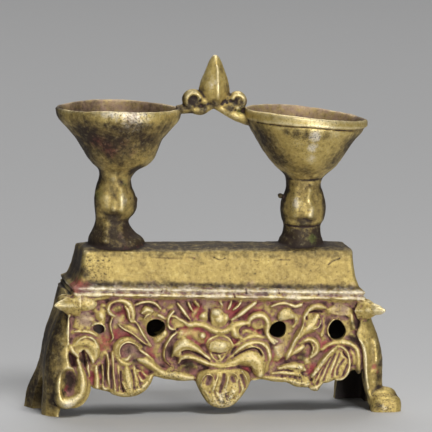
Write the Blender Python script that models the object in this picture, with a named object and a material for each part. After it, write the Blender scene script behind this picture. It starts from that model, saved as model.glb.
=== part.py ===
# Twin-cup altar oil lamp, cast in one piece in brass.
# Two spouted cups stand on turned stems, tied at their rims by a bridge with a lotus bud.
# Below is a hollow table on four flared legs, with a carved apron.
# Forms are laid down in millimetres in the casting's own upright frame, front towards -Y,
# then the whole casting is leaned a little, as it settled, and its feet are cut flat.
import math

import bmesh
import bpy
from mathutils import Matrix, Vector

mm = 0.001

# Driving dimensions
lean = math.radians(2.0)  # the casting dips to its right
leanHeight = 35.7  # height that the lean turns about
middleShift = (0.32, 0.64)  # brings the middle of the outline over the origin

blockFoot = (38.2, 41.2, 13.6)  # height, half length and half depth of the block's foot
blockEdge = (48.0, 40.1, 9.75)  # the same at its crisp top edge
blockRise = 0.8  # how much higher that edge is at its right end than in the middle
blockCrown = 1.2  # swell of the top round the stems
blockDip = 0.6  # sag of the top between them
blockCorner = 1.6  # corner radius in plan
ledgeHalf = (43.4, 14.9)  # half length and half depth of the ledge between its beads
wall = 2.2  # thickness of the cast walls

apronFace = 12.9  # distance of the carved field from the middle plane
apronBack = 10.7  # distance of its inner face
apronTop = 34.8
archHalf = 4.6  # half width of the arch between the feet at each end
archTop = 8.5

holes = (
    (-35.2, 24.9, 1.5, 1.5, -11.8),  # x, z, the two half sizes and the depth reached; this one is blind
    (-18.4, 25.4, 2.7, 2.7, -5.0),
    (18.2, 25.2, 2.7, 2.3, -5.0),
    (35.8, 25.4, 2.7, 2.8, -5.0),
)

rimDepth = 17.5  # half depth of both cups at the rim
lipThickness = 1.5
cupWall = 1.9

budTip = (-1.5, 105.4)
budWide = 4.6
budFoot = 89.4

floorHalf = (80.0, 40.0)  # half length and half depth of the floor that levels the feet
voxel = 0.42  # fineness of the fused skin
keptShare = 0.018  # share of its faces that the skin keeps


# Shapes

def curve(points, perSpan=5):
    """A smooth run through the points, whose values may be places, widths or both."""
    run = []
    last = len(points) - 1
    for i in range(last):
        around = (points[max(i - 1, 0)], points[i], points[i + 1], points[min(i + 2, last)])
        for step in range(perSpan):
            t = step / perSpan
            run.append(tuple(
                b + 0.5 * t * (c - a + t * (2 * a - 5 * b + 4 * c - d + t * (3 * b - a - 3 * c + d)))
                for a, b, c, d in zip(*around)
            ))
    run.append(tuple(points[last]))
    return run


def loft(skin, rings):
    rows = [[skin.verts.new(point) for point in ring] for ring in rings]
    for low, high in zip(rows, rows[1:]):
        for i in range(len(low)):
            j = (i + 1) % len(low)
            skin.faces.new((low[i], low[j], high[j], high[i]))
    skin.faces.new(rows[0][::-1])
    skin.faces.new(rows[-1])


def blob(skin, centre, half, boxy=1.0):
    """An egg with three half sizes; a boxy share under one squares it up."""
    made = bmesh.ops.create_icosphere(skin, subdivisions=3, radius=1.0)
    for point in made["verts"]:
        point.co = Vector(centre) + Vector([
            size * math.copysign(abs(value) ** boxy, value) for size, value in zip(half, point.co)
        ])


def front(x, z, out):
    return Vector((x, -apronFace - out, z))


def back(x, z, out):
    return Vector((-x, apronFace + out, z))


def stroke(skin, place, points, width, height, lift=0.0, crest=1.0):
    """A raised line on the apron, round at both ends; a point's third value swells it."""
    path = curve([point if len(point) == 3 else (*point, 1.0) for point in points])
    sink = 1.0
    rings = []

    def ring(x, z, side, size):
        points = []
        for i in range(10):
            turn = math.tau * i / 10
            across = side * width * size * math.cos(turn)
            rise = math.sin(turn)
            out = height * min(size, 1.0) ** 0.5 * rise**crest if rise > 0 else sink * rise
            points.append(place(x + across.x, z + across.y, lift + out))
        rings.append(points)

    last = len(path) - 1
    for i, (x, z, swell) in enumerate(path):
        before, after = path[max(i - 1, 0)], path[min(i + 1, last)]
        along = Vector((after[0] - before[0], after[1] - before[1])).normalized()
        side = Vector((along.y, -along.x))
        if i == 0:
            for turn in (75, 50, 25):
                reach = width * swell * math.sin(math.radians(turn))
                ring(x - along.x * reach, z - along.y * reach, side, swell * math.cos(math.radians(turn)))
        ring(x, z, side, swell)
        if i == last:
            for turn in (25, 50, 75):
                reach = width * swell * math.sin(math.radians(turn))
                ring(x + along.x * reach, z + along.y * reach, side, swell * math.cos(math.radians(turn)))
    loft(skin, rings)


def spiral(centre, start, end, turnFrom, turnTo, steps=9):
    """Points that wind from one radius to another round a centre; the turns are in degrees."""
    points = []
    for i in range(steps):
        share = i / (steps - 1)
        radius = start + (end - start) * share
        turn = math.radians(turnFrom + (turnTo - turnFrom) * share)
        points.append((centre[0] + radius * math.cos(turn), centre[1] + radius * math.sin(turn)))
    return points


def rod(skin, points, depthShare=1.0, sides=12):
    """A bar through points x, y, z and radius; its depth is a share of its radius."""
    path = curve(points, 6)
    last = len(path) - 1
    rings = []
    for i, (x, y, z, radius) in enumerate(path):
        before, after = Vector(path[max(i - 1, 0)][:3]), Vector(path[min(i + 1, last)][:3])
        along = (after - before).normalized()
        side = along.cross(Vector((0, 1, 0))).normalized()
        over = side.cross(along)
        rings.append([
            Vector((x, y, z))
            + side * radius * math.cos(math.tau * k / sides)
            + over * radius * depthShare * math.sin(math.tau * k / sides)
            for k in range(sides)
        ])
    loft(skin, rings)


def box(halfLength, halfDepth, height, corner=blockCorner, perCorner=4):
    """One level ring with rounded corners."""
    ring = []
    for quarter in range(4):
        signX = 1 if quarter in (0, 3) else -1
        signY = 1 if quarter in (0, 1) else -1
        for step in range(perCorner + 1):
            turn = math.radians(90 * quarter + 90 * step / perCorner)
            ring.append(Vector((
                signX * (halfLength - corner) + corner * math.cos(turn),
                signY * (halfDepth - corner) + corner * math.sin(turn),
                height,
            )))
    return ring


# The table

def table(skin):
    length, depth = ledgeHalf
    foot, edge = blockFoot, blockEdge
    levels = [
        (apronTop - 1.2, length - 1.2, depth - 1.6, 1.0),
        (apronTop - 0.1, length - 0.2, depth - 0.2, 1.0),
        (35.25, length + 0.3, depth + 0.55, 1.0),  # lower bead
        (35.85, length, depth + 0.1, 1.0),
        (36.15, length - 0.2, depth - 0.35, 1.0),  # dark groove
        (36.45, length + 0.1, depth, 1.0),
        (36.9, length + 0.3, depth + 0.4, 1.0),  # upper bead
        (37.4, length - 0.1, depth - 0.1, 1.0),
        (foot[0], length - 0.9, foot[2] + 0.3, 1.2),
        (foot[0] + 1.8, foot[1] + 0.4, foot[2] - 0.6, blockCorner),
        (foot[0] + 3.4, foot[1] - 0.2, foot[2] - 1.3, blockCorner),
        (edge[0] - 0.5, edge[1] + 0.05, edge[2] + 0.2, blockCorner),
        (edge[0], edge[1] - 0.1, edge[2], blockCorner),
    ]
    rings = [box(halfLength, halfDepth, height, corner) for height, halfLength, halfDepth, corner in levels]
    for share in (0.2, 0.45, 0.7, 0.9, 1.0):
        turn = 0.5 * math.pi * share
        ring = box(edge[1] - 4.6 * (1 - math.cos(turn)) - 0.2, edge[2] * (1 - 0.86 * share), edge[0], 1.2)
        for point in ring:
            swell = ease((abs(point.x) - 12.0) / 16.0)
            point.z += math.sin(turn) * (blockCrown * swell - blockDip * (1 - swell))
        rings.append(ring)
    for ring in rings[-8:]:
        for point in ring:
            point.z += blockRise * point.x / edge[1] * ease((point.z - foot[0]) / (edge[0] - foot[0]))
    loft(skin, rings)


def ease(share):
    """A smooth step from 0 to 1."""
    share = min(max(share, 0.0), 1.0)
    return share * share * (3 - 2 * share)


def panel(skin, place, hem):
    """The plate behind the carving: a row of upright slices from its hem up to the ledge."""
    rings = []
    for x, z in hem:
        rings.append([
            place(x, z, 0.0),
            place(x, apronTop, 0.0),
            place(x, apronTop, apronBack - apronFace),
            place(x, z, apronBack - apronFace),
        ])
    loft(skin, rings)


# Each run gives a height and a distance from the middle, from the ledge down to the floor.
outerEdge = ((34.5, 45.0), (31.0, 45.8), (28.0, 46.8), (24.5, 48.2), (21.0, 49.4), (17.0, 50.2),
             (12.0, 50.5), (-4.0, 50.7))
toeEdge = ((34.5, 45.0), (28.0, 46.4), (22.0, 48.3), (17.0, 49.0), (13.0, 49.5), (10.0, 50.4),
           (7.0, 51.9), (3.0, 53.4), (-4.0, 54.2))
ridgeDepth = ((34.5, 14.4), (22.0, 15.2), (12.0, 15.5), (-4.0, 15.2))
hookDepth = ((34.5, 14.4), (22.0, 15.2), (12.0, 15.4), (6.0, 14.4), (3.0, 13.2), (0.0, 12.4),
             (-4.0, 12.2))
innerEdges = {
    (1, -1): ((34.5, 43.2), (28.0, 42.2), (24.5, 41.4), (21.9, 42.7), (19.0, 43.6), (11.0, 44.3),
              (8.0, 44.8), (4.0, 46.6), (-4.0, 47.4)),
    (-1, -1): ((34.5, 43.6), (28.0, 44.2), (17.0, 44.2), (13.0, 42.6), (9.0, 41.0), (4.0, 43.6),
               (1.0, 45.8), (-4.0, 46.2)),
    (1, 1): ((34.5, 43.2), (20.0, 43.4), (12.0, 41.4), (6.0, 40.0), (-4.0, 39.4)),
    (-1, 1): ((34.5, 43.2), (20.0, 43.4), (12.0, 41.4), (6.0, 40.0), (-4.0, 39.4)),
}


def at(run, z):
    """The distance that a run of (height, distance) gives at a height."""
    for (highZ, high), (lowZ, low) in zip(run, run[1:]):
        if z >= lowZ:
            share = (highZ - z) / (highZ - lowZ)
            return high + (low - high) * share
    return run[-1][1]


def end(skin, signX):
    """One end: a front leg, the bowed wall and a back leg, as one swelling skin."""
    rings = []
    for step in range(20):
        z = 34.5 - 38.0 * step / 19
        corner = []
        for signY, edge in ((-1, outerEdge), (1, toeEdge)):
            depth = at(hookDepth if (signX, signY) == (-1, -1) else ridgeDepth, z)
            outer, inner = at(edge, z), at(innerEdges[signX, signY], z)
            half = ((inner, depth - 4.0), (inner, depth - 0.3), (inner + 0.7, depth),
                    (outer - 2.6, depth - 0.9), (outer - 0.8, depth - 2.6), (outer, depth - 5.4))
            corner.append([Vector((signX * x, signY * y, z)) for x, y in half])
        middle = Vector((signX * (at(outerEdge, z) - 0.7), 0, z))
        inside = Vector((signX * 40.5, 0, z))
        rings.append(corner[0] + [middle] + corner[1][::-1] + [inside])
    loft(skin, rings)


def frontRightFoot(skin):
    """A boxy club foot that turns out past the corner."""
    blob(skin, (51.1, -14.2, 3.5), (4.6, 3.4, 3.8), boxy=0.62)
    blob(skin, (49.8, -13.6, 5.8), (3.4, 2.8, 3.4))


def hookFoot(skin):
    """The front left foot: a thick rim curled round a hollow, with its heel set back."""
    blob(skin, (-42.3, -13.0, 7.4), (5.4, 2.5, 6.4))
    stroke(skin, front, ((-41.0, 12.8, 0.6), (-39.8, 10.6, 0.9), (-39.1, 8.2), (-39.7, 5.9),
                         (-41.6, 4.1, 1.2), (-44.2, 2.9, 1.4), (-46.3, 3.4, 1.2), (-47.3, 5.6),
                         (-47.5, 8.4), (-46.8, 11.6, 0.7)), 1.25, 3.3)


def spur(skin, signX, signY, length):
    """A pyramid that points out past a corner, under the ledge."""
    rings = []
    steps = ((0.0, 3.7, 3.3, -0.5), (0.25, 3.2, 3.1, -0.1), (0.6, 1.9, 1.8, 0.1), (0.88, 0.95, 0.9, 0.3),
             (1.0, 0.35, 0.35, 0.3))
    for share, wide, tall, rise in steps:
        reach = length * share
        centre = Vector((signX * (42.8 + 0.72 * reach), signY * (12.6 + 0.68 * reach), 32.0 + rise))
        across = Vector((signX, -signY, 0)).normalized()
        rings.append([
            centre + across * wide * x + Vector((0, 0, tall * z))
            for x, z in ((1, 0), (0.55, 0.75), (0, 1), (-0.55, 0.75),
                         (-1, 0), (-0.55, -0.75), (0, -1), (0.55, -0.75))
        ])
    loft(skin, rings)


# The cups

# A profile gives height, radius and the place of its middle along the table.
leftCup = {
    "rimHalf": (18.9, 18.8),  # from the rim's middle to its outer and inner ends
    "rim": (89.7, -29.85),
    "tilt": 0.4,  # rise of the rim from its outer end to its inner one
    "droop": 0.7,
    "outward": -1,
    "stem": ((46.5, 8.6, -29.2), (50.1, 8.2, -29.3), (51.8, 6.75, -30.0), (53.7, 5.5, -30.5),
             (55.8, 4.95, -30.7), (57.8, 5.8, -30.2), (60.2, 6.25, -30.2), (63.1, 6.05, -30.5),
             (65.9, 5.3, -30.6), (68.3, 4.85, -30.1)),
    "bowl": ((70.6, 5.9, -29.4), (72.3, 8.25, -28.9), (74.4, 10.05, -28.8), (77.2, 11.45, -29.1),
             (80.4, 12.9, -29.4), (83.6, 15.2, -29.5), (86.2, 16.9, -29.7)),
    "lobes": (5, 0.6),
}
rightCup = {
    "rimHalf": (18.7, 18.8),
    "rim": (88.8, 26.1),
    "tilt": -2.6,
    "droop": 0.4,
    "outward": 1,
    "stem": ((46.5, 7.4, 26.0), (50.6, 6.6, 26.0), (52.3, 5.8, 26.1), (55.1, 5.55, 26.1),
             (57.1, 6.2, 26.2), (60.4, 6.45, 26.1), (62.8, 6.2, 26.2), (65.2, 5.55, 26.3),
             (67.2, 5.2, 26.1), (69.3, 5.6, 26.2)),
    "bowl": ((70.9, 6.9, 26.4), (73.3, 9.5, 26.3), (76.1, 11.6, 26.1), (78.9, 13.3, 25.9),
             (81.75, 14.95, 25.8), (84.2, 16.5, 26.0), (86.4, 17.2, 26.0)),
    "lobes": (4, 0.2),
}


def cup(skin, sizes, sides=48):
    """A stem and its bowl as one turned wall, drawn out to a point at both ends of its rim."""
    rim, rimMiddle = sizes["rim"]
    bowl = sizes["bowl"]
    outer = list(sizes["stem"]) + list(bowl) + [(rim - 0.6, rimDepth, rimMiddle)]
    inner = [
        (rim, rimDepth - 0.5 * lipThickness, rimMiddle),
        (rim - 0.5, rimDepth - lipThickness, rimMiddle),
    ]
    inner += [(z, radius - cupWall, middle) for z, radius, middle in reversed(bowl[2:])]
    floorZ, floorRadius, floorMiddle = bowl[1]
    inner += [(floorZ + 0.8, floorRadius - 2.6, floorMiddle), (floorZ - 0.1, 2.0, floorMiddle)]
    count, phase = sizes["lobes"]
    bowlFoot = bowl[0][0]
    rings = []
    for z, radius, middle in curve(outer, 3) + curve(inner, 3):
        inBowl = min(max((z - bowlFoot) / (rim - bowlFoot), 0.0), 1.0)
        onStem = math.sin(math.pi * min(max((z - 55.0) / 12.5, 0.0), 1.0))
        ring = []
        for k in range(sides):
            turn = math.tau * k / sides
            along = math.cos(turn)
            end = sizes["rimHalf"][0] if along * sizes["outward"] > 0 else sizes["rimHalf"][1]
            pull = (end - rimDepth) * abs(along) ** 6 * inBowl**3
            lump = 0.05 * math.cos(count * turn + phase) + 0.03 * math.cos(3 * turn + 1.0)
            reach = radius * (1 + onStem * lump) + pull
            level = (0.5 * sizes["tilt"] * along - sizes["droop"] * along**2) * inBowl**2
            ring.append(Vector((middle + reach * along, reach * math.sin(turn), z + level)))
        rings.append(ring)
    loft(skin, rings)


def castingMarks(skin):
    """A nub and a bump left on the stems, and the swollen foot of the left one."""
    rod(skin, ((21.6, -1.0, 63.9, 0.5), (20.2, -1.3, 63.9, 0.45), (19.2, -1.5, 63.8, 0.9),
               (18.4, -1.5, 63.7, 0.5)))
    blob(skin, (-24.2, -1.0, 61.9), (0.8, 0.8, 0.9))
    blob(skin, (-25.2, -0.5, 49.2), (4.4, 4.6, 2.4))


# The bridge

def bridge(skin):
    rod(skin, ((-14.5, 0, 88.4, 1.5), (-11.0, 0, 88.9, 1.3), (-8.0, 0, 89.0, 1.3),
               (-5.2, 0, 88.5, 1.35), (-3.3, 0, 89.6, 1.3), (-1.6, 0, 90.5, 1.3), (0.6, 0, 89.6, 1.4),
               (3.2, 0, 88.3, 1.5), (6.4, 0, 87.0, 1.75), (9.4, 0, 86.5, 2.3),
               (12.0, 0, 86.3, 2.1)), 1.25)
    curl(skin, (-7.7, 91.7), 2.2, -95, -330)
    curl(skin, (6.0, 91.5), 1.9, -85, 160)
    bud(skin)


def curl(skin, centre, radius, turnFrom, turnTo):
    """A tendril that leaves the bridge and winds round a hollow beside the bud."""
    path = spiral(centre, radius, 0.85 * radius, turnFrom, turnTo)
    rod(skin, [(x, 0.0, z, 1.05) for x, z in path], 1.9)
    blob(skin, (centre[0], 0.0, centre[1]), (radius + 0.3, 1.25, radius + 0.3), 0.8)


def bud(skin):
    """A lotus bud with a ridge down its front and back."""
    x, tip = budTip
    profile = ((budFoot, 2.2), (91.2, 3.2), (92.8, 4.1), (94.4, budWide), (97.3, 4.15), (99.4, 3.35),
               (101.3, 2.65), (103.2, 1.9), (104.7, 1.15), (tip, 0.45))
    rings = []
    for z, radius in curve(profile, 3):
        ring = []
        for k in range(16):
            turn = math.tau * k / 16
            ring.append(Vector((
                x + radius * math.copysign(abs(math.cos(turn)) ** 1.15, math.cos(turn)),
                0.68 * radius * math.copysign(abs(math.sin(turn)) ** 1.3, math.sin(turn)),
                z,
            )))
        rings.append(ring)
    loft(skin, rings)


# Carving on the front apron

frontHem = ((-44.5, 12.5), (-41.0, 12.0), (-38.0, 9.0), (-36.2, 7.2), (-32.4, 6.2), (-28.0, 5.0),
            (-23.6, 5.9), (-20.3, 8.9), (-18.2, 11.4), (-13.0, 10.4), (-8.0, 10.0), (-5.2, 9.6),
            (-3.0, 6.0), (2.6, 3.0), (8.0, 6.0), (10.8, 10.0), (16.0, 10.6), (21.8, 10.0), (25.5, 8.6),
            (30.0, 7.4), (33.1, 10.0), (37.0, 11.0), (39.6, 13.2), (44.5, 14.5))


fanMiddle = (2.8, 8.4)
backHem = ((0.0, 8.6), (5.0, 11.4), (16.0, 11.2), (26.0, 8.6), (34.0, 11.0), (44.5, 12.0))


def mask(skin):
    """The mask of scrolls in the middle: rays, brow, eye, nose, cheeks and lip."""
    # rays that fan out from the forehead
    stroke(skin, front, ((-11.2, 32.9), (-9.4, 30.0), (-7.9, 27.9, 0.7)), 0.75, 2.0)
    stroke(skin, front, ((10.7, 33.3), (8.0, 31.0), (4.9, 28.4, 0.7)), 0.8, 2.0)
    for x, z, toX, toZ in ((-8.7, 33.1, -7.5, 31.4), (-6.8, 33.7, -5.5, 32.2), (3.65, 33.6, 3.25, 32.1),
                           (6.5, 33.5, 4.9, 31.4)):
        stroke(skin, front, ((x, z), (toX, toZ, 0.7)), 0.55, 1.7)
    # forehead
    blob(skin, front(0.0, 28.6, 1.0), (2.7, 2.3, 3.0))
    blob(skin, front(2.4, 28.4, 0.8), (1.7, 1.8, 1.9))
    blob(skin, front(-4.0, 29.1, 0.6), (1.5, 1.5, 1.7))
    # brow, with a loop at each end
    stroke(skin, front, ((-11.6, 28.1, 0.7), (-9.8, 27.4), (-8.7, 26.2), (-6.3, 26.4), (-4.1, 26.2),
                         (-2.2, 25.1), (0.2, 24.5), (2.6, 24.6), (4.5, 25.5), (6.0, 26.6),
                         (9.0, 27.2, 0.8)), 1.05, 2.4)
    stroke(skin, front, ((-13.4, 30.0, 0.8), (-14.7, 27.8), (-14.4, 25.9),
                         (-12.9, 25.0, 0.8)), 0.75, 2.0)
    stroke(skin, front, ((6.0, 26.0), (5.8, 24.4), (6.9, 23.5, 0.8)), 1.0, 2.2)
    stroke(skin, front, spiral((12.0, 26.8), 2.9, 3.4, 165, -55) + [(16.2, 22.4)], 0.8, 2.2)
    # eye and nose
    blob(skin, front(-4.4, 23.5, 0.8), (1.05, 1.5, 1.1))
    stroke(skin, front, spiral((0.7, 20.3), 3.4, 3.4, 200, -15), 0.6, 1.8)
    blob(skin, front(0.6, 20.2, 1.4), (2.3, 2.6, 2.1))
    blob(skin, front(-1.9, 20.0, 1.0), (1.2, 1.9, 1.2))
    blob(skin, front(3.4, 20.1, 1.0), (1.2, 1.9, 1.4))
    stroke(skin, front, ((0.5, 17.9, 1.3), (0.6, 16.4, 0.6)), 1.1, 2.0)
    # cheeks
    stroke(skin, front, ((-11.8, 24.2, 0.8), (-14.2, 22.2), (-15.5, 19.8), (-15.8, 17.2), (-14.9, 15.2),
                         (-13.3, 14.0, 0.7)), 0.75, 2.2)
    stroke(skin, front, ((-12.1, 17.9, 0.5), (-11.4, 20.0, 0.9), (-9.0, 20.9, 1.1), (-6.4, 19.8),
                         (-3.9, 17.9, 0.7), (-1.9, 16.4, 0.4)), 1.5, 2.4)
    stroke(skin, front, ((4.9, 18.3, 0.6), (6.6, 19.3), (8.6, 20.7), (11.0, 21.8), (13.4, 21.5),
                         (15.0, 19.6), (15.5, 17.3, 0.7)), 0.8, 2.1)
    # lip, which swells into a broad lobe at its right end
    stroke(skin, front, ((-10.6, 15.6, 0.6), (-9.6, 17.0, 0.9), (-7.8, 17.2), (-5.4, 16.3),
                         (-2.6, 15.0), (0.6, 14.3), (3.3, 14.6), (6.1, 16.0, 1.1), (8.8, 17.3, 1.4),
                         (11.4, 17.3, 1.9), (12.9, 15.2, 1.8), (12.7, 13.0, 1.3)), 1.0, 2.5)
    stroke(skin, front, ((-17.8, 12.6), (-13.8, 12.0, 1.2), (-9.4, 11.2), (-6.6, 10.4, 0.8)), 1.2, 1.9)


def pendant(skin):
    """A worn fan that hangs below the mask and stands forward of it."""
    middleX, middleZ = fanMiddle
    rings = []
    for out, wide, tall in ((-1.6, 7.4, 6.8), (1.6, 7.6, 6.9), (3.0, 6.8, 6.2), (3.7, 5.2, 4.8)):
        ring = []
        for k in range(24):
            turn = math.tau * k / 24
            across = wide * (1.0 - 0.16 * max(-math.sin(turn), 0.0))
            ring.append(front(middleX + across * math.cos(turn), middleZ + tall * math.sin(turn), out))
        rings.append(ring)
    loft(skin, rings)
    for x, z, toX, toZ in ((-3.0, 12.2, -0.6, 6.2), (0.2, 12.6, 0.6, 6.4), (4.0, 12.6, 3.4, 6.4),
                           (7.0, 13.2, 5.6, 7.0), (9.6, 11.8, 7.2, 7.4)):
        stroke(skin, front, ((x, z, 0.8), (toX, toZ)), 0.85, 1.0, 3.4)


def leftCarving(skin):
    # curled leaf that falls across the field
    stroke(skin, front, ((-30.9, 29.3, 0.5), (-32.2, 31.0, 0.8), (-31.6, 32.9), (-29.4, 33.4),
                         (-27.4, 32.6), (-26.0, 30.6), (-25.1, 28.0), (-23.6, 25.3, 1.5),
                         (-22.0, 22.9, 1.2), (-19.9, 20.5, 0.4)), 0.85, 2.3)
    stroke(skin, front, ((-29.2, 25.7, 0.4), (-27.0, 24.8), (-24.6, 23.6, 0.9)), 0.8, 1.8)
    stroke(skin, front, ((-31.7, 28.2, 0.6), (-31.9, 25.7), (-31.0, 23.5),
                         (-31.2, 22.2, 0.6)), 0.5, 1.5)
    # volute whose stem runs down to the hem
    stroke(skin, front, ((-15.2, 11.4, 0.8), (-18.2, 13.6, 1.2), (-20.7, 15.6, 1.3), (-22.6, 18.2),
                         (-24.6, 20.6), (-26.9, 21.6), (-28.9, 20.4), (-29.7, 18.3), (-29.0, 16.5),
                         (-27.4, 16.0), (-26.3, 17.1, 0.7)), 0.95, 2.3)
    stroke(skin, front, ((-23.8, 19.6, 0.6), (-21.0, 17.9), (-18.4, 15.5, 0.7)), 0.7, 1.6)
    # leaf over the second hole
    stroke(skin, front, ((-22.4, 29.2, 0.7), (-21.2, 30.9, 1.2), (-19.4, 31.0, 0.7)), 0.85, 1.9)
    stroke(skin, front, ((-23.6, 32.4, 0.7), (-21.3, 33.2), (-19.2, 33.0), (-17.5, 31.9),
                         (-16.8, 30.2, 0.7)), 0.6, 1.7)
    stroke(skin, front, spiral((-18.4, 25.4), 3.5, 3.5, 80, 15), 0.6, 1.3)
    # leaf at the shoulder of the leg
    stroke(skin, front, ((-44.0, 18.6, 0.6), (-42.6, 20.6, 0.9), (-40.4, 21.3), (-38.0, 21.2, 1.1),
                         (-36.2, 19.4), (-35.9, 16.4, 0.6), (-36.2, 14.8, 0.4)), 1.5, 2.4)
    blob(skin, front(-38.6, 19.2, 0.6), (2.4, 1.7, 2.2))
    blob(skin, front(-43.2, 18.2, 0.6), (1.2, 1.7, 1.7))
    blob(skin, front(-41.5, 14.3, 0.3), (0.9, 1.5, 1.5))
    stroke(skin, front, spiral((-35.2, 24.9), 2.2, 2.2, 140, 0), 0.5, 1.4)
    blob(skin, front(-39.6, 27.4, -0.2), (2.6, 1.4, 2.3))
    # pleated lobe at the hem
    for x, toX, z in ((-36.6, -35.4, 7.4), (-33.2, -32.6, 6.8), (-31.3, -30.2, 6.0)):
        stroke(skin, front, ((x, 15.2, 0.7), (x + 0.3, 11.0), (toX, z, 0.9)), 0.75, 1.7)
    stroke(skin, front, ((-26.6, 14.0, 0.7), (-26.4, 10.4, 1.2), (-25.6, 7.2)), 2.0, 2.2)
    stroke(skin, front, ((-19.8, 11.6, 0.6), (-20.6, 8.8), (-23.4, 6.4), (-27.6, 5.3),
                         (-31.4, 6.0, 0.8)), 0.9, 1.9)
    # brow that runs from the spur under the ledge
    stroke(skin, front, ((-46.0, 33.3, 1.5), (-42.0, 32.9, 1.6), (-38.0, 33.4),
                         (-34.0, 34.2, 0.6)), 1.2, 2.2)


def rightCarving(skin):
    # long curled leaf
    stroke(skin, front, ((32.3, 32.2, 0.7), (30.2, 33.0), (28.0, 32.2), (26.6, 30.2), (27.4, 27.8, 1.6),
                         (26.0, 25.2, 1.3), (23.6, 22.0), (21.6, 18.9, 0.9),
                         (20.7, 16.7, 0.5)), 1.15, 2.4)
    # bud over the third hole
    blob(skin, front(20.2, 30.0, 0.6), (1.8, 1.7, 1.8))
    stroke(skin, front, ((17.6, 32.4, 0.7), (20.2, 33.1), (22.4, 32.5), (24.0, 33.0, 1.2)), 0.7, 1.6)
    # hooked tendril
    stroke(skin, front, ((22.0, 18.2, 0.7), (24.0, 20.4), (26.2, 22.2), (28.4, 22.6), (29.7, 21.2),
                         (30.0, 19.2), (28.7, 17.9, 0.8)), 0.95, 2.1)
    # low leaves
    stroke(skin, front, ((18.7, 14.3, 0.4), (21.6, 14.6, 1.0), (24.3, 14.8, 1.1),
                         (26.4, 14.6, 0.7)), 1.2, 2.0)
    stroke(skin, front, ((16.7, 12.4, 0.4), (20.5, 12.0), (25.0, 11.6), (28.0, 10.2, 0.8)), 1.2, 1.8)
    # framed lobe with slanting leaves
    stroke(skin, front, ((36.8, 20.4, 0.5), (35.0, 18.6), (32.6, 16.4), (30.4, 13.8, 0.9),
                         (29.4, 10.8, 0.8)), 1.15, 2.3)
    stroke(skin, front, ((37.0, 20.2, 0.6), (38.6, 18.0), (39.3, 15.4), (38.8, 12.9),
                         (36.4, 11.4, 0.8)), 0.8, 2.0)
    for x, z, toX, toZ in ((36.6, 17.6, 33.4, 13.4), (37.4, 15.4, 35.2, 12.6), (33.4, 14.6, 31.2, 9.6)):
        stroke(skin, front, ((x, z, 0.7), (toX, toZ)), 0.7, 1.7)
    blob(skin, front(30.2, 8.8, 0.2), (1.5, 1.6, 1.7))
    stroke(skin, front, ((32.0, 20.7, 0.6), (36.0, 22.2), (40.3, 21.2), (42.2, 17.6),
                         (42.0, 13.0, 0.7)), 0.8, 1.8)
    stroke(skin, front, spiral((35.8, 25.4), 3.4, 3.5, 110, 230), 0.65, 1.7)
    stroke(skin, front, spiral((18.2, 25.2), 3.6, 3.4, 165, 260), 0.65, 1.5)


def backCarving(skin):
    """The back, much plainer: a fan, two volutes and two leaves a side."""
    volute = spiral((11.5, 24.5), 5.0, 1.6, -150, 160)
    tallLeaf = ((16.0, 14.0, 0.6), (23.0, 18.0, 1.2), (29.0, 25.0, 1.2), (33.0, 30.0, 0.5))
    lowLeaf = ((26.0, 12.5, 0.6), (32.0, 16.5, 1.2), (38.5, 20.0, 0.6))
    border = ((5.0, 12.5), (15.0, 12.2), (26.0, 9.6), (36.0, 12.0))
    lines = ((volute, 1.0, 1.6), (tallLeaf, 1.5, 1.6), (lowLeaf, 1.5, 1.6), (border, 1.1, 1.4))
    for points, width, height in lines:
        for side in (-1, 1):
            stroke(skin, back, [(side * point[0], *point[1:]) for point in points], width, height)
    for x in (-6, -3, 0, 3, 6):
        stroke(skin, back, ((0.35 * x, 11.0, 0.6), (x, 18.5)), 1.1, 1.7)
    blob(skin, back(0.0, 28.0, 0.2), (2.6, 1.8, 2.6))


# Cutters

def solidFrom(name, skin, build):
    mesh = bpy.data.meshes.new(name)
    bmesh.ops.recalc_face_normals(skin, faces=skin.faces)
    bmesh.ops.transform(skin, matrix=build, verts=skin.verts)
    skin.to_mesh(mesh)
    skin.free()
    piece = bpy.data.objects.new(name, mesh)
    bpy.context.scene.collection.objects.link(piece)
    return piece


def cutter(name, skin, build, body):
    piece = solidFrom(name, skin, build)
    piece.hide_render = True
    piece.display_type = "WIRE"
    cut = body.modifiers.new(name, "BOOLEAN")
    cut.operation = "DIFFERENCE"
    cut.object = piece


def hollow(skin):
    """The room under the table, open below, with the block's own slope in its upper part."""
    rings = []
    for z in (-9.0, 0.0, 6.0, 11.0, 17.0, 24.0, apronTop):
        rings.append(box(at(outerEdge, z) - wall - 0.7, apronBack, z, 1.2, 2))
    rings.append(box(blockFoot[1] - wall, blockFoot[2] - wall, blockFoot[0] - 1.0, 1.2, 2))
    rings.append(box(blockEdge[1] - wall - 0.3, blockEdge[2] - wall + 0.1, blockEdge[0] - wall, 1.2, 2))
    loft(skin, rings)


def arch(skin):
    """The arch between the feet, right through both ends."""
    rings = []
    for x in (-70.0, 70.0):
        rings.append([Vector((x, archHalf * math.cos(turn), archTop * math.sin(turn)))
                      for turn in [math.pi * k / 12 for k in range(13)]]
                     + [Vector((x, -archHalf, -9.0)), Vector((x, archHalf, -9.0))])
    loft(skin, rings)


def roundHoles(skin):
    turns = [math.tau * k / 14 for k in range(14)]
    for x, z, halfWidth, halfHeight, depth in holes:
        loft(skin, [
            [Vector((x + halfWidth * math.cos(turn), y, z + halfHeight * math.sin(turn))) for turn in turns]
            for y in (-20.0, depth)
        ])


# Casting

def brass():
    material = bpy.data.materials.new("worn_brass")
    material.use_nodes = True
    shader = material.node_tree.nodes["Principled BSDF"]
    shader.inputs["Base Color"].default_value = (0.42, 0.30, 0.10, 1.0)
    shader.inputs["Metallic"].default_value = 0.9
    shader.inputs["Roughness"].default_value = 0.42
    return material


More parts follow.
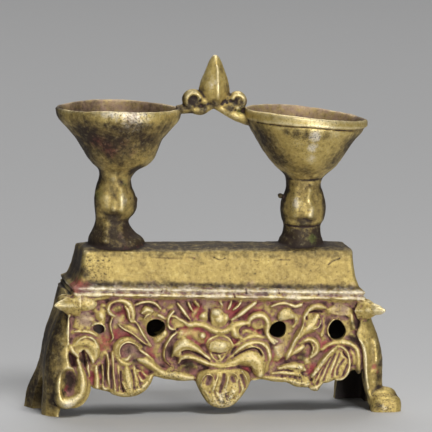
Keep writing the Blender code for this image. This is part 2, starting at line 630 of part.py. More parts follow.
def main():
    for old in list(bpy.data.objects):
        bpy.data.objects.remove(old, do_unlink=True)

    skin = bmesh.new()
    table(skin)
    panel(skin, front, frontHem)
    panel(skin, back, [(-x, z) for x, z in reversed(backHem[1:])] + list(backHem))
    for signX in (-1, 1):
        end(skin, signX)
        spur(skin, signX, -1, 8.8)
        spur(skin, signX, 1, 1.6)
    frontRightFoot(skin)
    hookFoot(skin)
    for sizes in (leftCup, rightCup):
        cup(skin, sizes)
    castingMarks(skin)
    bridge(skin)
    mask(skin)
    pendant(skin)
    leftCarving(skin)
    rightCarving(skin)
    backCarving(skin)

    metres = Matrix.Diagonal((mm, mm, mm, 1.0))
    settle = (
        metres
        @ Matrix.Translation((*middleShift, leanHeight))
        @ Matrix.Rotation(lean, 4, "Y")
        @ Matrix.Translation((0, 0, -leanHeight))
    )
    lamp = solidFrom("oil_lamp", skin, settle)
    lamp.data.materials.append(brass())

    fuse = lamp.modifiers.new("fuse", "REMESH")
    fuse.mode = "VOXEL"
    fuse.voxel_size = voxel * mm
    soften = lamp.modifiers.new("soften", "SMOOTH")
    soften.factor = 0.4
    soften.iterations = 2
    thin = lamp.modifiers.new("thin", "DECIMATE")
    thin.ratio = keptShare

    under = bmesh.new()
    hollow(under)
    cutter("hollow", under, settle, lamp)
    through = bmesh.new()
    roundHoles(through)
    cutter("holes", through, settle, lamp)
    between = bmesh.new()
    arch(between)
    cutter("arches", between, settle, lamp)
    ground = bmesh.new()
    loft(ground, [box(*floorHalf, z) for z in (-20.0, 0.0)])
    cutter("floor", ground, metres, lamp)


main()
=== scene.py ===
import math
from itertools import product

import bmesh
import bpy
import numpy as np
from mathutils import Matrix, Vector
from mathutils.bvhtree import BVHTree
from mathutils.kdtree import KDTree


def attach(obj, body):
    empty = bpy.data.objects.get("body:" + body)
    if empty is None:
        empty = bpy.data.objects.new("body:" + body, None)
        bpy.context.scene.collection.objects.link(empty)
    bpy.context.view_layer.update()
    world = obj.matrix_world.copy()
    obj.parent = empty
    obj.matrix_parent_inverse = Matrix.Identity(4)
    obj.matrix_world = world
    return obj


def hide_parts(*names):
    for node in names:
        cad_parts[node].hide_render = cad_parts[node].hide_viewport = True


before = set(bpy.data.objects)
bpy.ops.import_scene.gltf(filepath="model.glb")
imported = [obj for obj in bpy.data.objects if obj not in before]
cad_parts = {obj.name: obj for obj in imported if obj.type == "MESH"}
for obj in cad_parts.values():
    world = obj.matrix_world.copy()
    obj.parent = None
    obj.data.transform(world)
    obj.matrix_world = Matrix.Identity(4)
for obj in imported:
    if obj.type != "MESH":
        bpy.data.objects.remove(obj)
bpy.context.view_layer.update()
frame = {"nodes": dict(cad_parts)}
print("frame loaded:", ", ".join(frame["nodes"]))

# The lamp is laid down in millimetres in its own upright frame, front towards -Y.
mm = 0.001
stance = {
    "lean": 2.0,  # degrees that the casting dips to its right
    "leanHeight": 35.7,
    "shift": (0.32, 0.64),  # brings the middle of its outline over the origin
}
settle = (
    Matrix.Diagonal((mm, mm, mm, 1.0))
    @ Matrix.Translation((*stance["shift"], stance["leanHeight"]))
    @ Matrix.Rotation(math.radians(stance["lean"]), 4, "Y")
    @ Matrix.Translation((0, 0, -stance["leanHeight"]))
)


# Shapes

def curve(points, perSpan=6):  # a smooth run through points of any kind
    run = []
    last = len(points) - 1
    for i in range(last):
        around = (points[max(i - 1, 0)], points[i], points[i + 1], points[min(i + 2, last)])
        for step in range(perSpan):
            t = step / perSpan
            run.append(tuple(
                b + 0.5 * t * (c - a + t * (2 * a - 5 * b + 4 * c - d + t * (3 * b - a - 3 * c + d)))
                for a, b, c, d in zip(*around)
            ))
    run.append(tuple(points[last]))
    return run


def loft(skin, rings):
    rows = [[skin.verts.new(point) for point in ring] for ring in rings]
    for low, high in zip(rows, rows[1:]):
        for i in range(len(low)):
            j = (i + 1) % len(low)
            skin.faces.new((low[i], low[j], high[j], high[i]))
    skin.faces.new(rows[0][::-1])
    skin.faces.new(rows[-1])


def blob(skin, centre, half, boxy=1.0):  # an egg, squared up where boxy is under one
    made = bmesh.ops.create_icosphere(skin, subdivisions=4, radius=1.0)
    for point in made["verts"]:
        point.co = Vector(centre) + Vector([
            size * math.copysign(abs(value) ** boxy, value) for size, value in zip(half, point.co)
        ])


def ease(share):
    share = min(max(share, 0.0), 1.0)
    return share * share * (3 - 2 * share)


def at(run, z):  # the distance that a run of (height, distance) gives at a height
    for (highZ, high), (lowZ, low) in zip(run, run[1:]):
        if z >= lowZ:
            return high + (low - high) * (highZ - z) / (highZ - lowZ)
    return run[-1][1]


def front(x, z, out):
    return Vector((x, -apron["face"] - out, z))


def back(x, z, out):
    return Vector((-x, apron["face"] + out, z))


def stroke(skin, place, points, width, height, crest=1.0):
    # a raised line on the apron, round at both ends; a point's third value swells it
    path = curve([point if len(point) == 3 else (*point, 1.0) for point in points])
    last = len(path) - 1
    rings = []
    sides = 14

    def ring(x, z, side, size):
        around = []
        for i in range(sides):
            turn = math.tau * i / sides
            across = side * width * size * math.cos(turn)
            rise = math.sin(turn)
            out = height * min(size, 1.0) ** 0.5 * rise**crest if rise > 0 else rise
            around.append(place(x + across.x, z + across.y, out))
        rings.append(around)

    for i, (x, z, swell) in enumerate(path):
        before, after = path[max(i - 1, 0)], path[min(i + 1, last)]
        along = Vector((after[0] - before[0], after[1] - before[1])).normalized()
        side = Vector((along.y, -along.x))
        turns = (80, 60, 40, 20, 0) if i == 0 else (0, 20, 40, 60, 80) if i == last else (0,)
        for turn in turns:
            reach = width * swell * math.sin(math.radians(turn)) * (-1 if i == 0 else 1)
            ring(x + along.x * reach, z + along.y * reach, side, swell * math.cos(math.radians(turn)))
    loft(skin, rings)


def plate(skin, place, height, outline):  # a flat mass with a soft edge, seen whole from its middle
    middle = [sum(values) / len(outline) for values in zip(*outline)]
    run = curve([*outline, outline[0]])[:-1]
    steps = ((1.0, -1.6), (1.0, 0.1 * height), (0.96, 0.6 * height), (0.86, 0.9 * height), (0.62, height))
    loft(skin, [
        [place(*(centre + (value - centre) * share for centre, value in zip(middle, point)), out) for point in run]
        for share, out in steps
    ])


def spiral(centre, start, end, turnFrom, turnTo, steps=9):
    points = []
    for i in range(steps):
        share = i / (steps - 1)
        radius = start + (end - start) * share
        turn = math.radians(turnFrom + (turnTo - turnFrom) * share)
        points.append((centre[0] + radius * math.cos(turn), centre[1] + radius * math.sin(turn)))
    return points


def rod(skin, points, depthShare=1.0, sides=20):  # a bar through points x, y, z and radius
    path = curve(points)
    last = len(path) - 1
    rings = []
    for i, (x, y, z, radius) in enumerate(path):
        before, after = Vector(path[max(i - 1, 0)][:3]), Vector(path[min(i + 1, last)][:3])
        along = (after - before).normalized()
        side = along.cross(Vector((0, 1, 0))).normalized()
        over = side.cross(along)
        rings.append([
            Vector((x, y, z))
            + side * radius * math.cos(math.tau * k / sides)
            + over * radius * depthShare * math.sin(math.tau * k / sides)
            for k in range(sides)
        ])
    loft(skin, rings)


def box(halfLength, halfDepth, height, corner=1.6, perCorner=6):  # a level ring with round corners
    ring = []
    for quarter in range(4):
        signX = 1 if quarter in (0, 3) else -1
        signY = 1 if quarter in (0, 1) else -1
        for step in range(perCorner + 1):
            turn = math.radians(90 * quarter + 90 * step / perCorner)
            ring.append(Vector((
                signX * (halfLength - corner) + corner * math.cos(turn),
                signY * (halfDepth - corner) + corner * math.sin(turn),
                height,
            )))
    return ring


# The block and its ledge
block = {
    "foot": (38.2, 41.2, 13.6),  # height, half length and half depth
    "edge": (48.0, 40.1, 9.75),  # the same at its crisp top edge
    "rise": 0.8,  # how much higher that edge is at its right end than in the middle
    "crown": 1.2,  # swell of the top round the stems
    "dip": 0.6,  # sag of the top between them
    "ledgeHalf": (43.4, 14.9),
    "wall": 2.2,
}


def tableTop(skin):
    length, depth = block["ledgeHalf"]
    foot, edge = block["foot"], block["edge"]
    levels = [
        (apron["top"] - 1.2, length - 1.2, depth - 1.6, 1.0),
        (apron["top"] - 0.15, length - 0.3, depth - 0.5, 1.0),
        (34.95, length + 0.15, depth + 0.35, 1.0),
        (35.25, length + 0.3, depth + 0.6, 1.0),  # lower bead
        (35.6, length + 0.15, depth + 0.4, 1.0),
        (35.85, length - 0.2, depth - 0.3, 1.0),
        (36.1, length - 0.4, depth - 0.95, 1.0),  # dark groove
        (36.35, length - 0.1, depth - 0.4, 1.0),
        (36.7, length + 0.25, depth + 0.35, 1.0),
        (36.95, length + 0.3, depth + 0.45, 1.0),  # upper bead
        (37.25, length + 0.1, depth + 0.2, 1.0),
        (37.5, length - 0.3, depth - 0.4, 1.0),
        (foot[0] - 0.2, length - 1.2, foot[2] + 0.15, 1.2),
        (foot[0] + 0.6, length - 1.5, foot[2] - 0.2, 1.2),
        (foot[0] + 1.8, foot[1] + 0.3, foot[2] - 0.7, 1.4),
        (foot[0] + 3.4, foot[1] - 0.25, foot[2] - 1.3, 1.4),
        (edge[0] - 0.45, edge[1] + 0.1, edge[2] + 0.22, 1.2),
        (edge[0], edge[1] - 0.05, edge[2], 1.2),
    ]
    rings = [box(halfLength, halfDepth, height, corner) for height, halfLength, halfDepth, corner in levels]
    for share in (0.12, 0.3, 0.5, 0.7, 0.88, 1.0):
        turn = 0.5 * math.pi * share
        ring = box(edge[1] - 4.6 * (1 - math.cos(turn)) - 0.2, edge[2] * (1 - 0.86 * share), edge[0], 1.2)
        for point in ring:
            swell = ease((abs(point.x) - 12.0) / 16.0)
            point.z += math.sin(turn) * (block["crown"] * swell - block["dip"] * (1 - swell))
        rings.append(ring)
    for ring in rings[12:]:
        for point in ring:
            lift = ease((point.z - foot[0]) / (edge[0] - foot[0]))
            point.z += block["rise"] * point.x / edge[1] * lift
    loft(skin, rings)


# The table under it. Each run gives a height and a distance from the middle.
apron = {
    "face": 12.9,  # distance of the carved field from the middle plane
    "back": 10.7,  # distance of its inner face
    "top": 34.8,
    "archHalf": 4.6,  # the arch between the feet at each end
    "archTop": 8.5,
    # x, z, two half sizes and the y that it reaches; the first hole is blind
    "holes": (
        (-35.2, 24.9, 1.6, 1.5, -11.8),
        (-18.4, 25.4, 2.75, 2.75, -5.0),
        (18.1, 25.4, 2.7, 2.4, -5.0),
        (35.8, 25.5, 2.75, 2.85, -5.0),
    ),
}
legs = {
    "outer": ((34.5, 45.0), (31.0, 45.8), (28.0, 46.8), (24.5, 48.2), (21.0, 49.4), (17.0, 50.2),
              (12.0, 50.5), (-4.0, 50.7)),
    "toe": ((34.5, 45.0), (28.0, 46.4), (22.0, 48.3), (17.0, 49.0), (13.0, 49.5), (10.0, 50.4),
            (7.0, 51.9), (3.0, 53.4), (-4.0, 54.2)),
    "ridge": ((34.5, 14.4), (22.0, 15.2), (12.0, 15.5), (-4.0, 15.2)),
    "hook": ((34.5, 14.4), (22.0, 15.2), (12.0, 15.4), (6.0, 14.4), (3.0, 13.2), (0.0, 12.4), (-4.0, 12.2)),
    "frontRight": ((34.5, 43.2), (28.0, 42.2), (24.5, 41.4), (21.9, 42.7), (19.0, 43.6), (11.0, 44.3),
                   (8.0, 44.8), (4.0, 46.6), (-4.0, 47.4)),
    "frontLeft": ((34.5, 43.6), (28.0, 44.2), (17.0, 44.2), (13.0, 42.6), (9.0, 41.0), (4.0, 43.6),
                  (1.0, 45.8), (-4.0, 46.2)),
    "behind": ((34.5, 43.2), (20.0, 43.4), (12.0, 41.4), (6.0, 40.0), (-4.0, 39.4)),
}


def panel(skin, place, hem):
    depth = apron["back"] - apron["face"]
    loft(skin, [
        [place(x, z, 0.0), place(x, apron["top"], 0.0), place(x, apron["top"], depth), place(x, z, depth)]
        for x, z in hem
    ])


def end(skin, signX):  # a front leg, the bowed wall and a back leg, as one swelling skin
    rings = []
    for step in range(39):  # a ring at each millimetre down
        z = 34.5 - step
        corner = []
        for signY in (-1, 1):
            leftFront = (signX, signY) == (-1, -1)
            inside = legs["behind" if signY > 0 else "frontLeft" if leftFront else "frontRight"]
            depth = at(legs["hook" if leftFront else "ridge"], z)
            outer, inner = at(legs["outer" if signY < 0 else "toe"], z), at(inside, z)
            half = ((inner, depth - 4.0), (inner, depth - 0.3), (inner + 0.7, depth),
                    (outer - 2.6, depth - 0.9), (outer - 0.8, depth - 2.6), (outer, depth - 5.4))
            corner.append([Vector((signX * x, signY * y, z)) for x, y in half])
        middle = Vector((signX * (at(legs["outer"], z) - 0.7), 0, z))
        rings.append(corner[0] + [middle] + corner[1][::-1] + [Vector((signX * 40.5, 0, z))])
    loft(skin, rings)


def feet(skin):
    # the front right foot turns out past the corner
    blob(skin, (50.9, -14.1, 3.2), (4.6, 3.3, 3.7), boxy=0.68)
    blob(skin, (50.0, -12.9, 5.3), (4.5, 3.3, 3.6), boxy=0.85)
    # the front left one is a thick rim curled round a hollow
    blob(skin, (-42.3, -13.0, 7.4), (5.2, 2.2, 6.3))
    stroke(skin, front, ((-40.6, 13.2, 0.6), (-39.9, 10.8, 0.9), (-39.7, 8.2), (-40.3, 5.8, 1.05), (-42.0, 4.1, 1.2),
                         (-44.2, 3.1, 1.35), (-46.1, 3.7, 1.15), (-46.7, 6.0, 0.8), (-46.9, 8.6, 0.75),
                         (-46.4, 11.6, 0.5)), 1.7, 3.4, 1.3)


def spur(skin, signX, signY, length):  # a pyramid that points out past a corner
    rings = []
    # share of its length, half width, half height and rise
    steps = ((0.0, 3.7, 3.3, -0.5), (0.25, 3.2, 3.1, -0.1), (0.6, 1.9, 1.8, 0.1), (0.88, 0.95, 0.9, 0.3),
             (1.0, 0.35, 0.35, 0.3))
    around = ((1, 0), (0.55, 0.75), (0, 1), (-0.55, 0.75), (-1, 0), (-0.55, -0.75), (0, -1), (0.55, -0.75))
    across = Vector((signX, -signY, 0)).normalized()
    if (signX, signY) == (-1, -1):  # this one has a swollen root
        blob(skin, (-40.4, -14.3, 32.5), (4.4, 1.7, 2.3))
    for share, wide, tall, rise in steps:
        reach = length * share
        centre = Vector((signX * (42.8 + 0.72 * reach), signY * (12.6 + 0.68 * reach), 32.0 + rise))
        rings.append([centre + across * wide * x + Vector((0, 0, tall * z)) for x, z in around])
    loft(skin, rings)


# The cups. Stem and bowl each list height, radius and the place of the middle along the table.
cupWall = {
    "rimDepth": 17.0,  # radius of the rim across the table
    "lip": 1.5,
    "wall": 1.9,
}
leftCup = {
    "rimHalf": (18.9, 18.8),  # from the rim's middle to its outer and inner ends
    "rim": (89.7, -29.85),
    "tilt": 0.4,  # rise of the rim from its outer end to its inner one
    "droop": 0.7,  # sag of the rim at both ends
    "outward": -1,
    "stem": ((46.5, 8.6, -29.2), (50.1, 8.2, -29.3), (51.8, 6.75, -30.0), (53.7, 5.5, -30.5),
             (55.8, 4.95, -30.7), (57.8, 5.8, -30.2), (60.2, 6.25, -30.2), (63.1, 6.05, -30.5),
             (65.9, 5.3, -30.6), (68.3, 4.85, -30.1)),
    "bowl": ((70.6, 5.9, -29.4), (72.3, 8.25, -28.9), (74.4, 10.05, -28.8), (77.2, 11.45, -29.1),
             (80.4, 12.9, -29.4), (83.6, 15.2, -29.5), (86.2, 16.9, -29.7)),
    "band": 0.0,  # how far a band under the rim stands out
    "lobes": (5, 0.6),  # lumps round the stem, and their turn
}
rightCup = {
    "rimHalf": (18.7, 18.8),
    "rim": (88.8, 26.1),
    "tilt": -2.6,
    "droop": 0.4,
    "outward": 1,
    "stem": ((46.5, 7.4, 26.0), (50.6, 6.6, 26.0), (52.3, 5.8, 26.1), (55.1, 5.55, 26.1), (57.1, 6.2, 26.2),
             (60.4, 6.45, 26.1), (62.8, 6.2, 26.2), (65.2, 5.55, 26.3), (67.2, 5.2, 26.1),
             (69.3, 5.6, 26.2)),
    "bowl": ((70.9, 6.9, 26.4), (73.3, 9.5, 26.3), (76.1, 11.6, 26.1), (78.9, 13.3, 25.9),
             (81.75, 14.95, 25.8), (84.2, 16.3, 26.0), (85.9, 16.75, 26.0)),
    "band": 0.35,
    "lobes": (4, 0.2),
}


def cup(skin, sizes, sides=96):  # a stem and bowl as one turned wall, drawn out at both ends of the rim
    rim, rimMiddle = sizes["rim"]
    rimDepth, lip, wall = cupWall["rimDepth"], cupWall["lip"], cupWall["wall"]
    bowl = sizes["bowl"]
    outer = list(sizes["stem"]) + list(bowl)
    if sizes["band"]:
        outer += [(86.25, rimDepth + sizes["band"], rimMiddle), (87.4, rimDepth + 0.15, rimMiddle)]
    outer += [(rim - 0.6, rimDepth, rimMiddle)]
    floorZ, floorRadius, floorMiddle = bowl[1]
    inner = [(rim, rimDepth - 0.5 * lip, rimMiddle), (rim - 0.5, rimDepth - lip, rimMiddle)]
    inner += [(z, radius - wall, middle) for z, radius, middle in reversed(bowl[2:])]
    inner += [(floorZ + 0.8, floorRadius - 2.6, floorMiddle), (floorZ - 0.1, 2.0, floorMiddle)]
    count, phase = sizes["lobes"]
    rings = []
    for z, radius, middle in curve(outer, 5) + curve(inner, 4):
        inBowl = min(max((z - bowl[0][0]) / (rim - bowl[0][0]), 0.0), 1.0)
        onStem = math.sin(math.pi * min(max((z - 55.0) / 12.5, 0.0), 1.0))
        ring = []
        for k in range(sides):
            turn = math.tau * k / sides
            along = math.cos(turn)
            tip = sizes["rimHalf"][0] if along * sizes["outward"] > 0 else sizes["rimHalf"][1]
            pull = (tip - rimDepth) * abs(along) ** 6 * inBowl**3
            lump = 0.05 * math.cos(count * turn + phase) + 0.03 * math.cos(3 * turn + 1.0)
            reach = radius * (1 + onStem * lump) + pull
            level = (0.5 * sizes["tilt"] * along - sizes["droop"] * along**2) * inBowl**2
            ring.append(Vector((middle + reach * along, reach * math.sin(turn), z + level)))
        rings.append(ring)
    loft(skin, rings)


def castingMarks(skin):  # a nub and a bump on the stems, and the swollen foot of the left one
    rod(skin, ((21.6, -1.0, 63.9, 0.5), (20.2, -1.3, 63.9, 0.45), (19.2, -1.5, 63.8, 1.0), (18.3, -1.5, 63.7, 0.6)))
    blob(skin, (-24.2, -1.0, 61.9), (0.8, 0.8, 0.9))
    blob(skin, (-25.2, -0.5, 49.2), (4.4, 4.6, 2.4))


# The bridge and its bud
budSizes = {
    "middle": -1.5,
    "profile": ((89.4, 2.2), (91.2, 3.2), (92.8, 4.1), (94.4, 4.6), (97.3, 4.15), (99.4, 3.35), (101.3, 2.65),
                (103.2, 1.9), (104.5, 1.15), (105.15, 0.45)),
    "depthShare": 0.72,
    "skew": 0.14,  # how far its ridge lies to the right
}


def bridge(skin):
    # its bar, a curl at each side and the thin leaf on the right one
    rod(skin, ((-12.4, 0, 88.6, 1.4), (-11.0, 0, 88.9, 1.3), (-8.0, 0, 89.0, 1.3), (-5.2, 0, 88.5, 1.35),
               (-3.3, 0, 89.6, 1.3), (-1.6, 0, 90.5, 1.3), (0.6, 0, 89.6, 1.4), (3.2, 0, 88.3, 1.5),
               (6.4, 0, 87.0, 1.75), (9.0, 0, 86.5, 2.2), (10.3, 0, 86.3, 1.7)), 1.25)
    curl(skin, (-7.7, 91.8), 2.3, -95, -350)
    curl(skin, (5.4, 91.7), 2.0, -100, 165)
    rod(skin, ((4.2, -1.0, 93.9, 0.4), (5.4, -1.3, 93.0, 0.55), (5.8, -1.4, 91.8, 0.55), (5.4, -1.2, 90.6, 0.4)))
    # swellings under the curls and the bud
    blob(skin, (3.4, 0.0, 90.0), (3.4, 1.9, 1.7))
    blob(skin, (-4.4, 0.0, 91.6), (1.5, 1.5, 1.7))
    blob(skin, (2.6, 0.0, 92.4), (1.4, 1.2, 1.5))
    rings = []
    for z, radius in curve(budSizes["profile"], 5):
        ring = []
        for k in range(32):
            turn = math.tau * k / 32
            ring.append(Vector((
                budSizes["middle"] + radius * math.copysign(abs(math.cos(turn)) ** 1.25, math.cos(turn))
                + budSizes["skew"] * radius * math.sin(turn) ** 2,
                budSizes["depthShare"] * radius * math.copysign(abs(math.sin(turn)) ** 1.6, math.sin(turn)),
                z,
            )))
        rings.append(ring)
    loft(skin, rings)


def curl(skin, centre, radius, turnFrom, turnTo):  # a tendril round a shallow hollow
    path = spiral(centre, radius, 0.85 * radius, turnFrom, turnTo)
    rod(skin, [(x, 0.0, z, 1.05) for x, z in path], 1.9)
    blob(skin, (centre[0], 0.0, centre[1]), (radius + 0.3, 1.25, radius + 0.3), 0.8)


# The lower edges of the front and of half the back, as points x, z
frontHem = (
    (-44.5, 12.5), (-41.0, 12.0), (-38.0, 9.0), (-36.2, 7.2), (-32.4, 6.2), (-28.0, 5.0), (-23.6, 5.9), (-20.3, 8.9),
    (-18.2, 11.4), (-13.0, 10.4), (-8.0, 10.0), (-5.2, 9.6), (-3.0, 6.0), (2.6, 3.0), (8.0, 6.0), (10.8, 10.0),
    (16.0, 10.6), (21.8, 10.0), (25.5, 8.6), (30.0, 7.4), (33.1, 10.0), (37.0, 11.0), (39.6, 13.2), (44.5, 14.5),
)
backHem = ((0.0, 8.6), (5.0, 11.4), (16.0, 11.2), (26.0, 8.6), (34.0, 11.0), (44.5, 12.0))

# Broad masses that the lines lie on: height, and an outline of points x, z
masses = (
    # round the nose
    (1.3, ((-3.6, 20.4), (-2.6, 22.6), (0.8, 23.7), (3.6, 22.6), (4.9, 20.4), (3.6, 17.6), (1.0, 16.0),
        (-1.8, 17.2))),
    # bosses, lid, nose, cheeks, horn of the brow
    (1.7, ((-2.3, 30.8), (-1.2, 31.8), (0.6, 31.6), (1.7, 30.4), (3.0, 29.6), (3.1, 28.0), (2.3, 26.6), (0.8, 25.4),
        (-1.2, 25.4), (-2.2, 27.0), (-2.5, 29.0))),
    (1.2, ((-5.8, 29.2), (-5.0, 30.3), (-3.6, 30.6), (-3.0, 29.6), (-3.0, 28.0), (-4.2, 27.8), (-5.4, 28.2))),
    (1.0, ((-12.4, 24.4), (-9.5, 25.7), (-6.0, 25.8), (-3.5, 25.2), (-2.2, 23.6), (-3.0, 21.8), (-4.5, 20.6),
        (-6.4, 21.4), (-8.4, 22.6), (-10.6, 22.8), (-12.4, 22.6))),
    (1.9, ((-13.2, 17.4), (-13.2, 19.6), (-12.2, 21.2), (-10.4, 22.2), (-8.4, 21.9), (-6.6, 20.8), (-5.0, 19.2),
        (-6.6, 18.4), (-8.6, 19.0), (-10.4, 18.4), (-11.6, 16.8))),
    (2.2, ((-3.1, 19.9), (-2.5, 21.3), (-0.8, 22.2), (1.2, 22.3), (3.0, 22.0), (4.0, 20.8), (3.6, 19.2), (2.4, 18.2),
        (0.8, 18.0), (-0.6, 18.4), (-2.2, 18.8))),
    (1.2, ((4.6, 16.6), (5.6, 19.4), (7.4, 21.8), (10.2, 23.4), (13.2, 23.4), (15.2, 21.8), (16.2, 19.0),
        (16.2, 15.6), (15.2, 12.6), (13.2, 11.4), (11.2, 12.2), (10.2, 14.2), (8.0, 15.4))),
    (2.0, ((8.6, 15.6), (8.6, 17.8), (10.4, 19.2), (12.8, 18.6), (14.4, 17.0), (14.8, 14.6), (14.0, 12.6),
        (12.4, 11.8), (11.2, 13.2), (10.2, 14.6))),
    (1.8, ((3.8, 25.8), (5.2, 27.4), (7.2, 27.8), (8.4, 27.2), (6.8, 26.2), (6.2, 24.8), (6.9, 23.2), (5.8, 22.8),
        (4.6, 23.4), (3.8, 24.6))),
    (1.1, ((-12.6, 29.0), (-11.2, 28.6), (-9.4, 27.6), (-9.6, 26.2), (-11.4, 25.6), (-13.4, 25.6), (-14.2, 27.2),
        (-13.6, 28.6))),
    (0.9, ((9.6, 26.4), (9.8, 28.2), (11.4, 29.4), (13.2, 29.0), (14.2, 27.2), (13.4, 25.6), (11.4, 25.2))),
    # left: shoulder dome, volute, falling leaf, pleated lobe, ground
    (1.7, ((-43.4, 18.8), (-42.6, 20.8), (-41.0, 22.2), (-38.6, 22.6), (-36.6, 21.6), (-35.3, 19.6), (-35.2, 17.4),
        (-36.2, 15.6), (-37.2, 15.4), (-38.0, 17.2), (-39.6, 18.4), (-41.2, 17.6), (-42.4, 16.6))),
    (0.7, ((-29.6, 19.4), (-28.8, 21.2), (-27.0, 21.8), (-25.2, 21.4), (-23.4, 20.0), (-21.8, 18.2), (-20.6, 16.0),
        (-22.4, 14.6), (-24.6, 14.0), (-27.0, 14.2), (-29.0, 16.2))),
    (1.1, ((-29.4, 26.3), (-27.4, 26.4), (-25.2, 26.6), (-24.2, 27.2), (-23.0, 25.0), (-21.6, 22.8), (-20.0, 20.8),
        (-21.4, 20.8), (-23.2, 22.2), (-25.4, 24.0), (-27.6, 25.0))),
    (1.1, ((-32.6, 14.6), (-30.4, 15.4), (-27.6, 15.0), (-25.0, 13.8), (-22.2, 12.8), (-19.4, 11.2), (-19.8, 9.2),
        (-21.8, 7.0), (-24.2, 5.7), (-27.4, 5.0), (-30.4, 5.8), (-32.6, 7.6))),
    (0.8, ((-42.8, 25.2), (-42.2, 29.6), (-39.8, 30.6), (-37.8, 29.2), (-37.6, 26.6), (-39.6, 24.8))),
    (0.7, ((-37.4, 31.6), (-35.0, 32.0), (-33.6, 30.0), (-33.2, 27.4), (-34.6, 27.0), (-36.6, 28.2))),
    (1.0, ((-22.6, 29.6), (-22.4, 30.9), (-21.2, 31.6), (-19.8, 31.2), (-19.4, 30.0), (-20.8, 29.2))),
    # right: long leaf, low leaves, bud, shell lobe, ground
    (1.3, ((25.6, 30.0), (27.0, 31.4), (28.8, 30.4), (30.4, 29.2), (30.6, 27.2), (29.0, 25.6), (26.8, 24.6),
        (24.6, 22.4), (23.4, 22.6), (24.2, 25.0), (25.2, 27.6))),
    (1.5, ((18.0, 14.2), (20.6, 15.2), (23.6, 15.7), (26.2, 15.4), (26.6, 13.8), (24.6, 12.4), (21.4, 12.0),
        (18.4, 12.4))),
    (1.7, ((18.4, 29.0), (18.2, 30.6), (19.6, 31.8), (21.4, 31.4), (22.1, 30.2), (21.4, 28.9), (19.8, 28.3))),
    (1.4, ((36.6, 21.2), (38.6, 19.9), (39.8, 17.4), (39.9, 14.4), (39.0, 12.0), (37.2, 10.8), (35.0, 10.8),
        (33.2, 10.4), (31.4, 8.9), (29.6, 8.2), (28.6, 9.6), (29.4, 13.6), (31.2, 16.6), (33.2, 19.2), (35.0, 20.8))),
    (0.8, ((33.0, 30.4), (34.0, 33.0), (37.6, 33.2), (40.2, 31.6), (40.4, 28.6), (38.4, 29.6), (35.8, 29.8))),
    (0.7, ((16.8, 20.4), (19.6, 21.0), (20.2, 18.6), (19.2, 16.4), (17.4, 16.0), (16.6, 18.0))),
    (0.8, ((13.8, 10.6), (17.0, 11.6), (22.0, 11.4), (26.6, 12.0), (28.2, 10.4), (26.4, 8.9), (22.8, 9.8),
        (18.2, 10.4))),
)

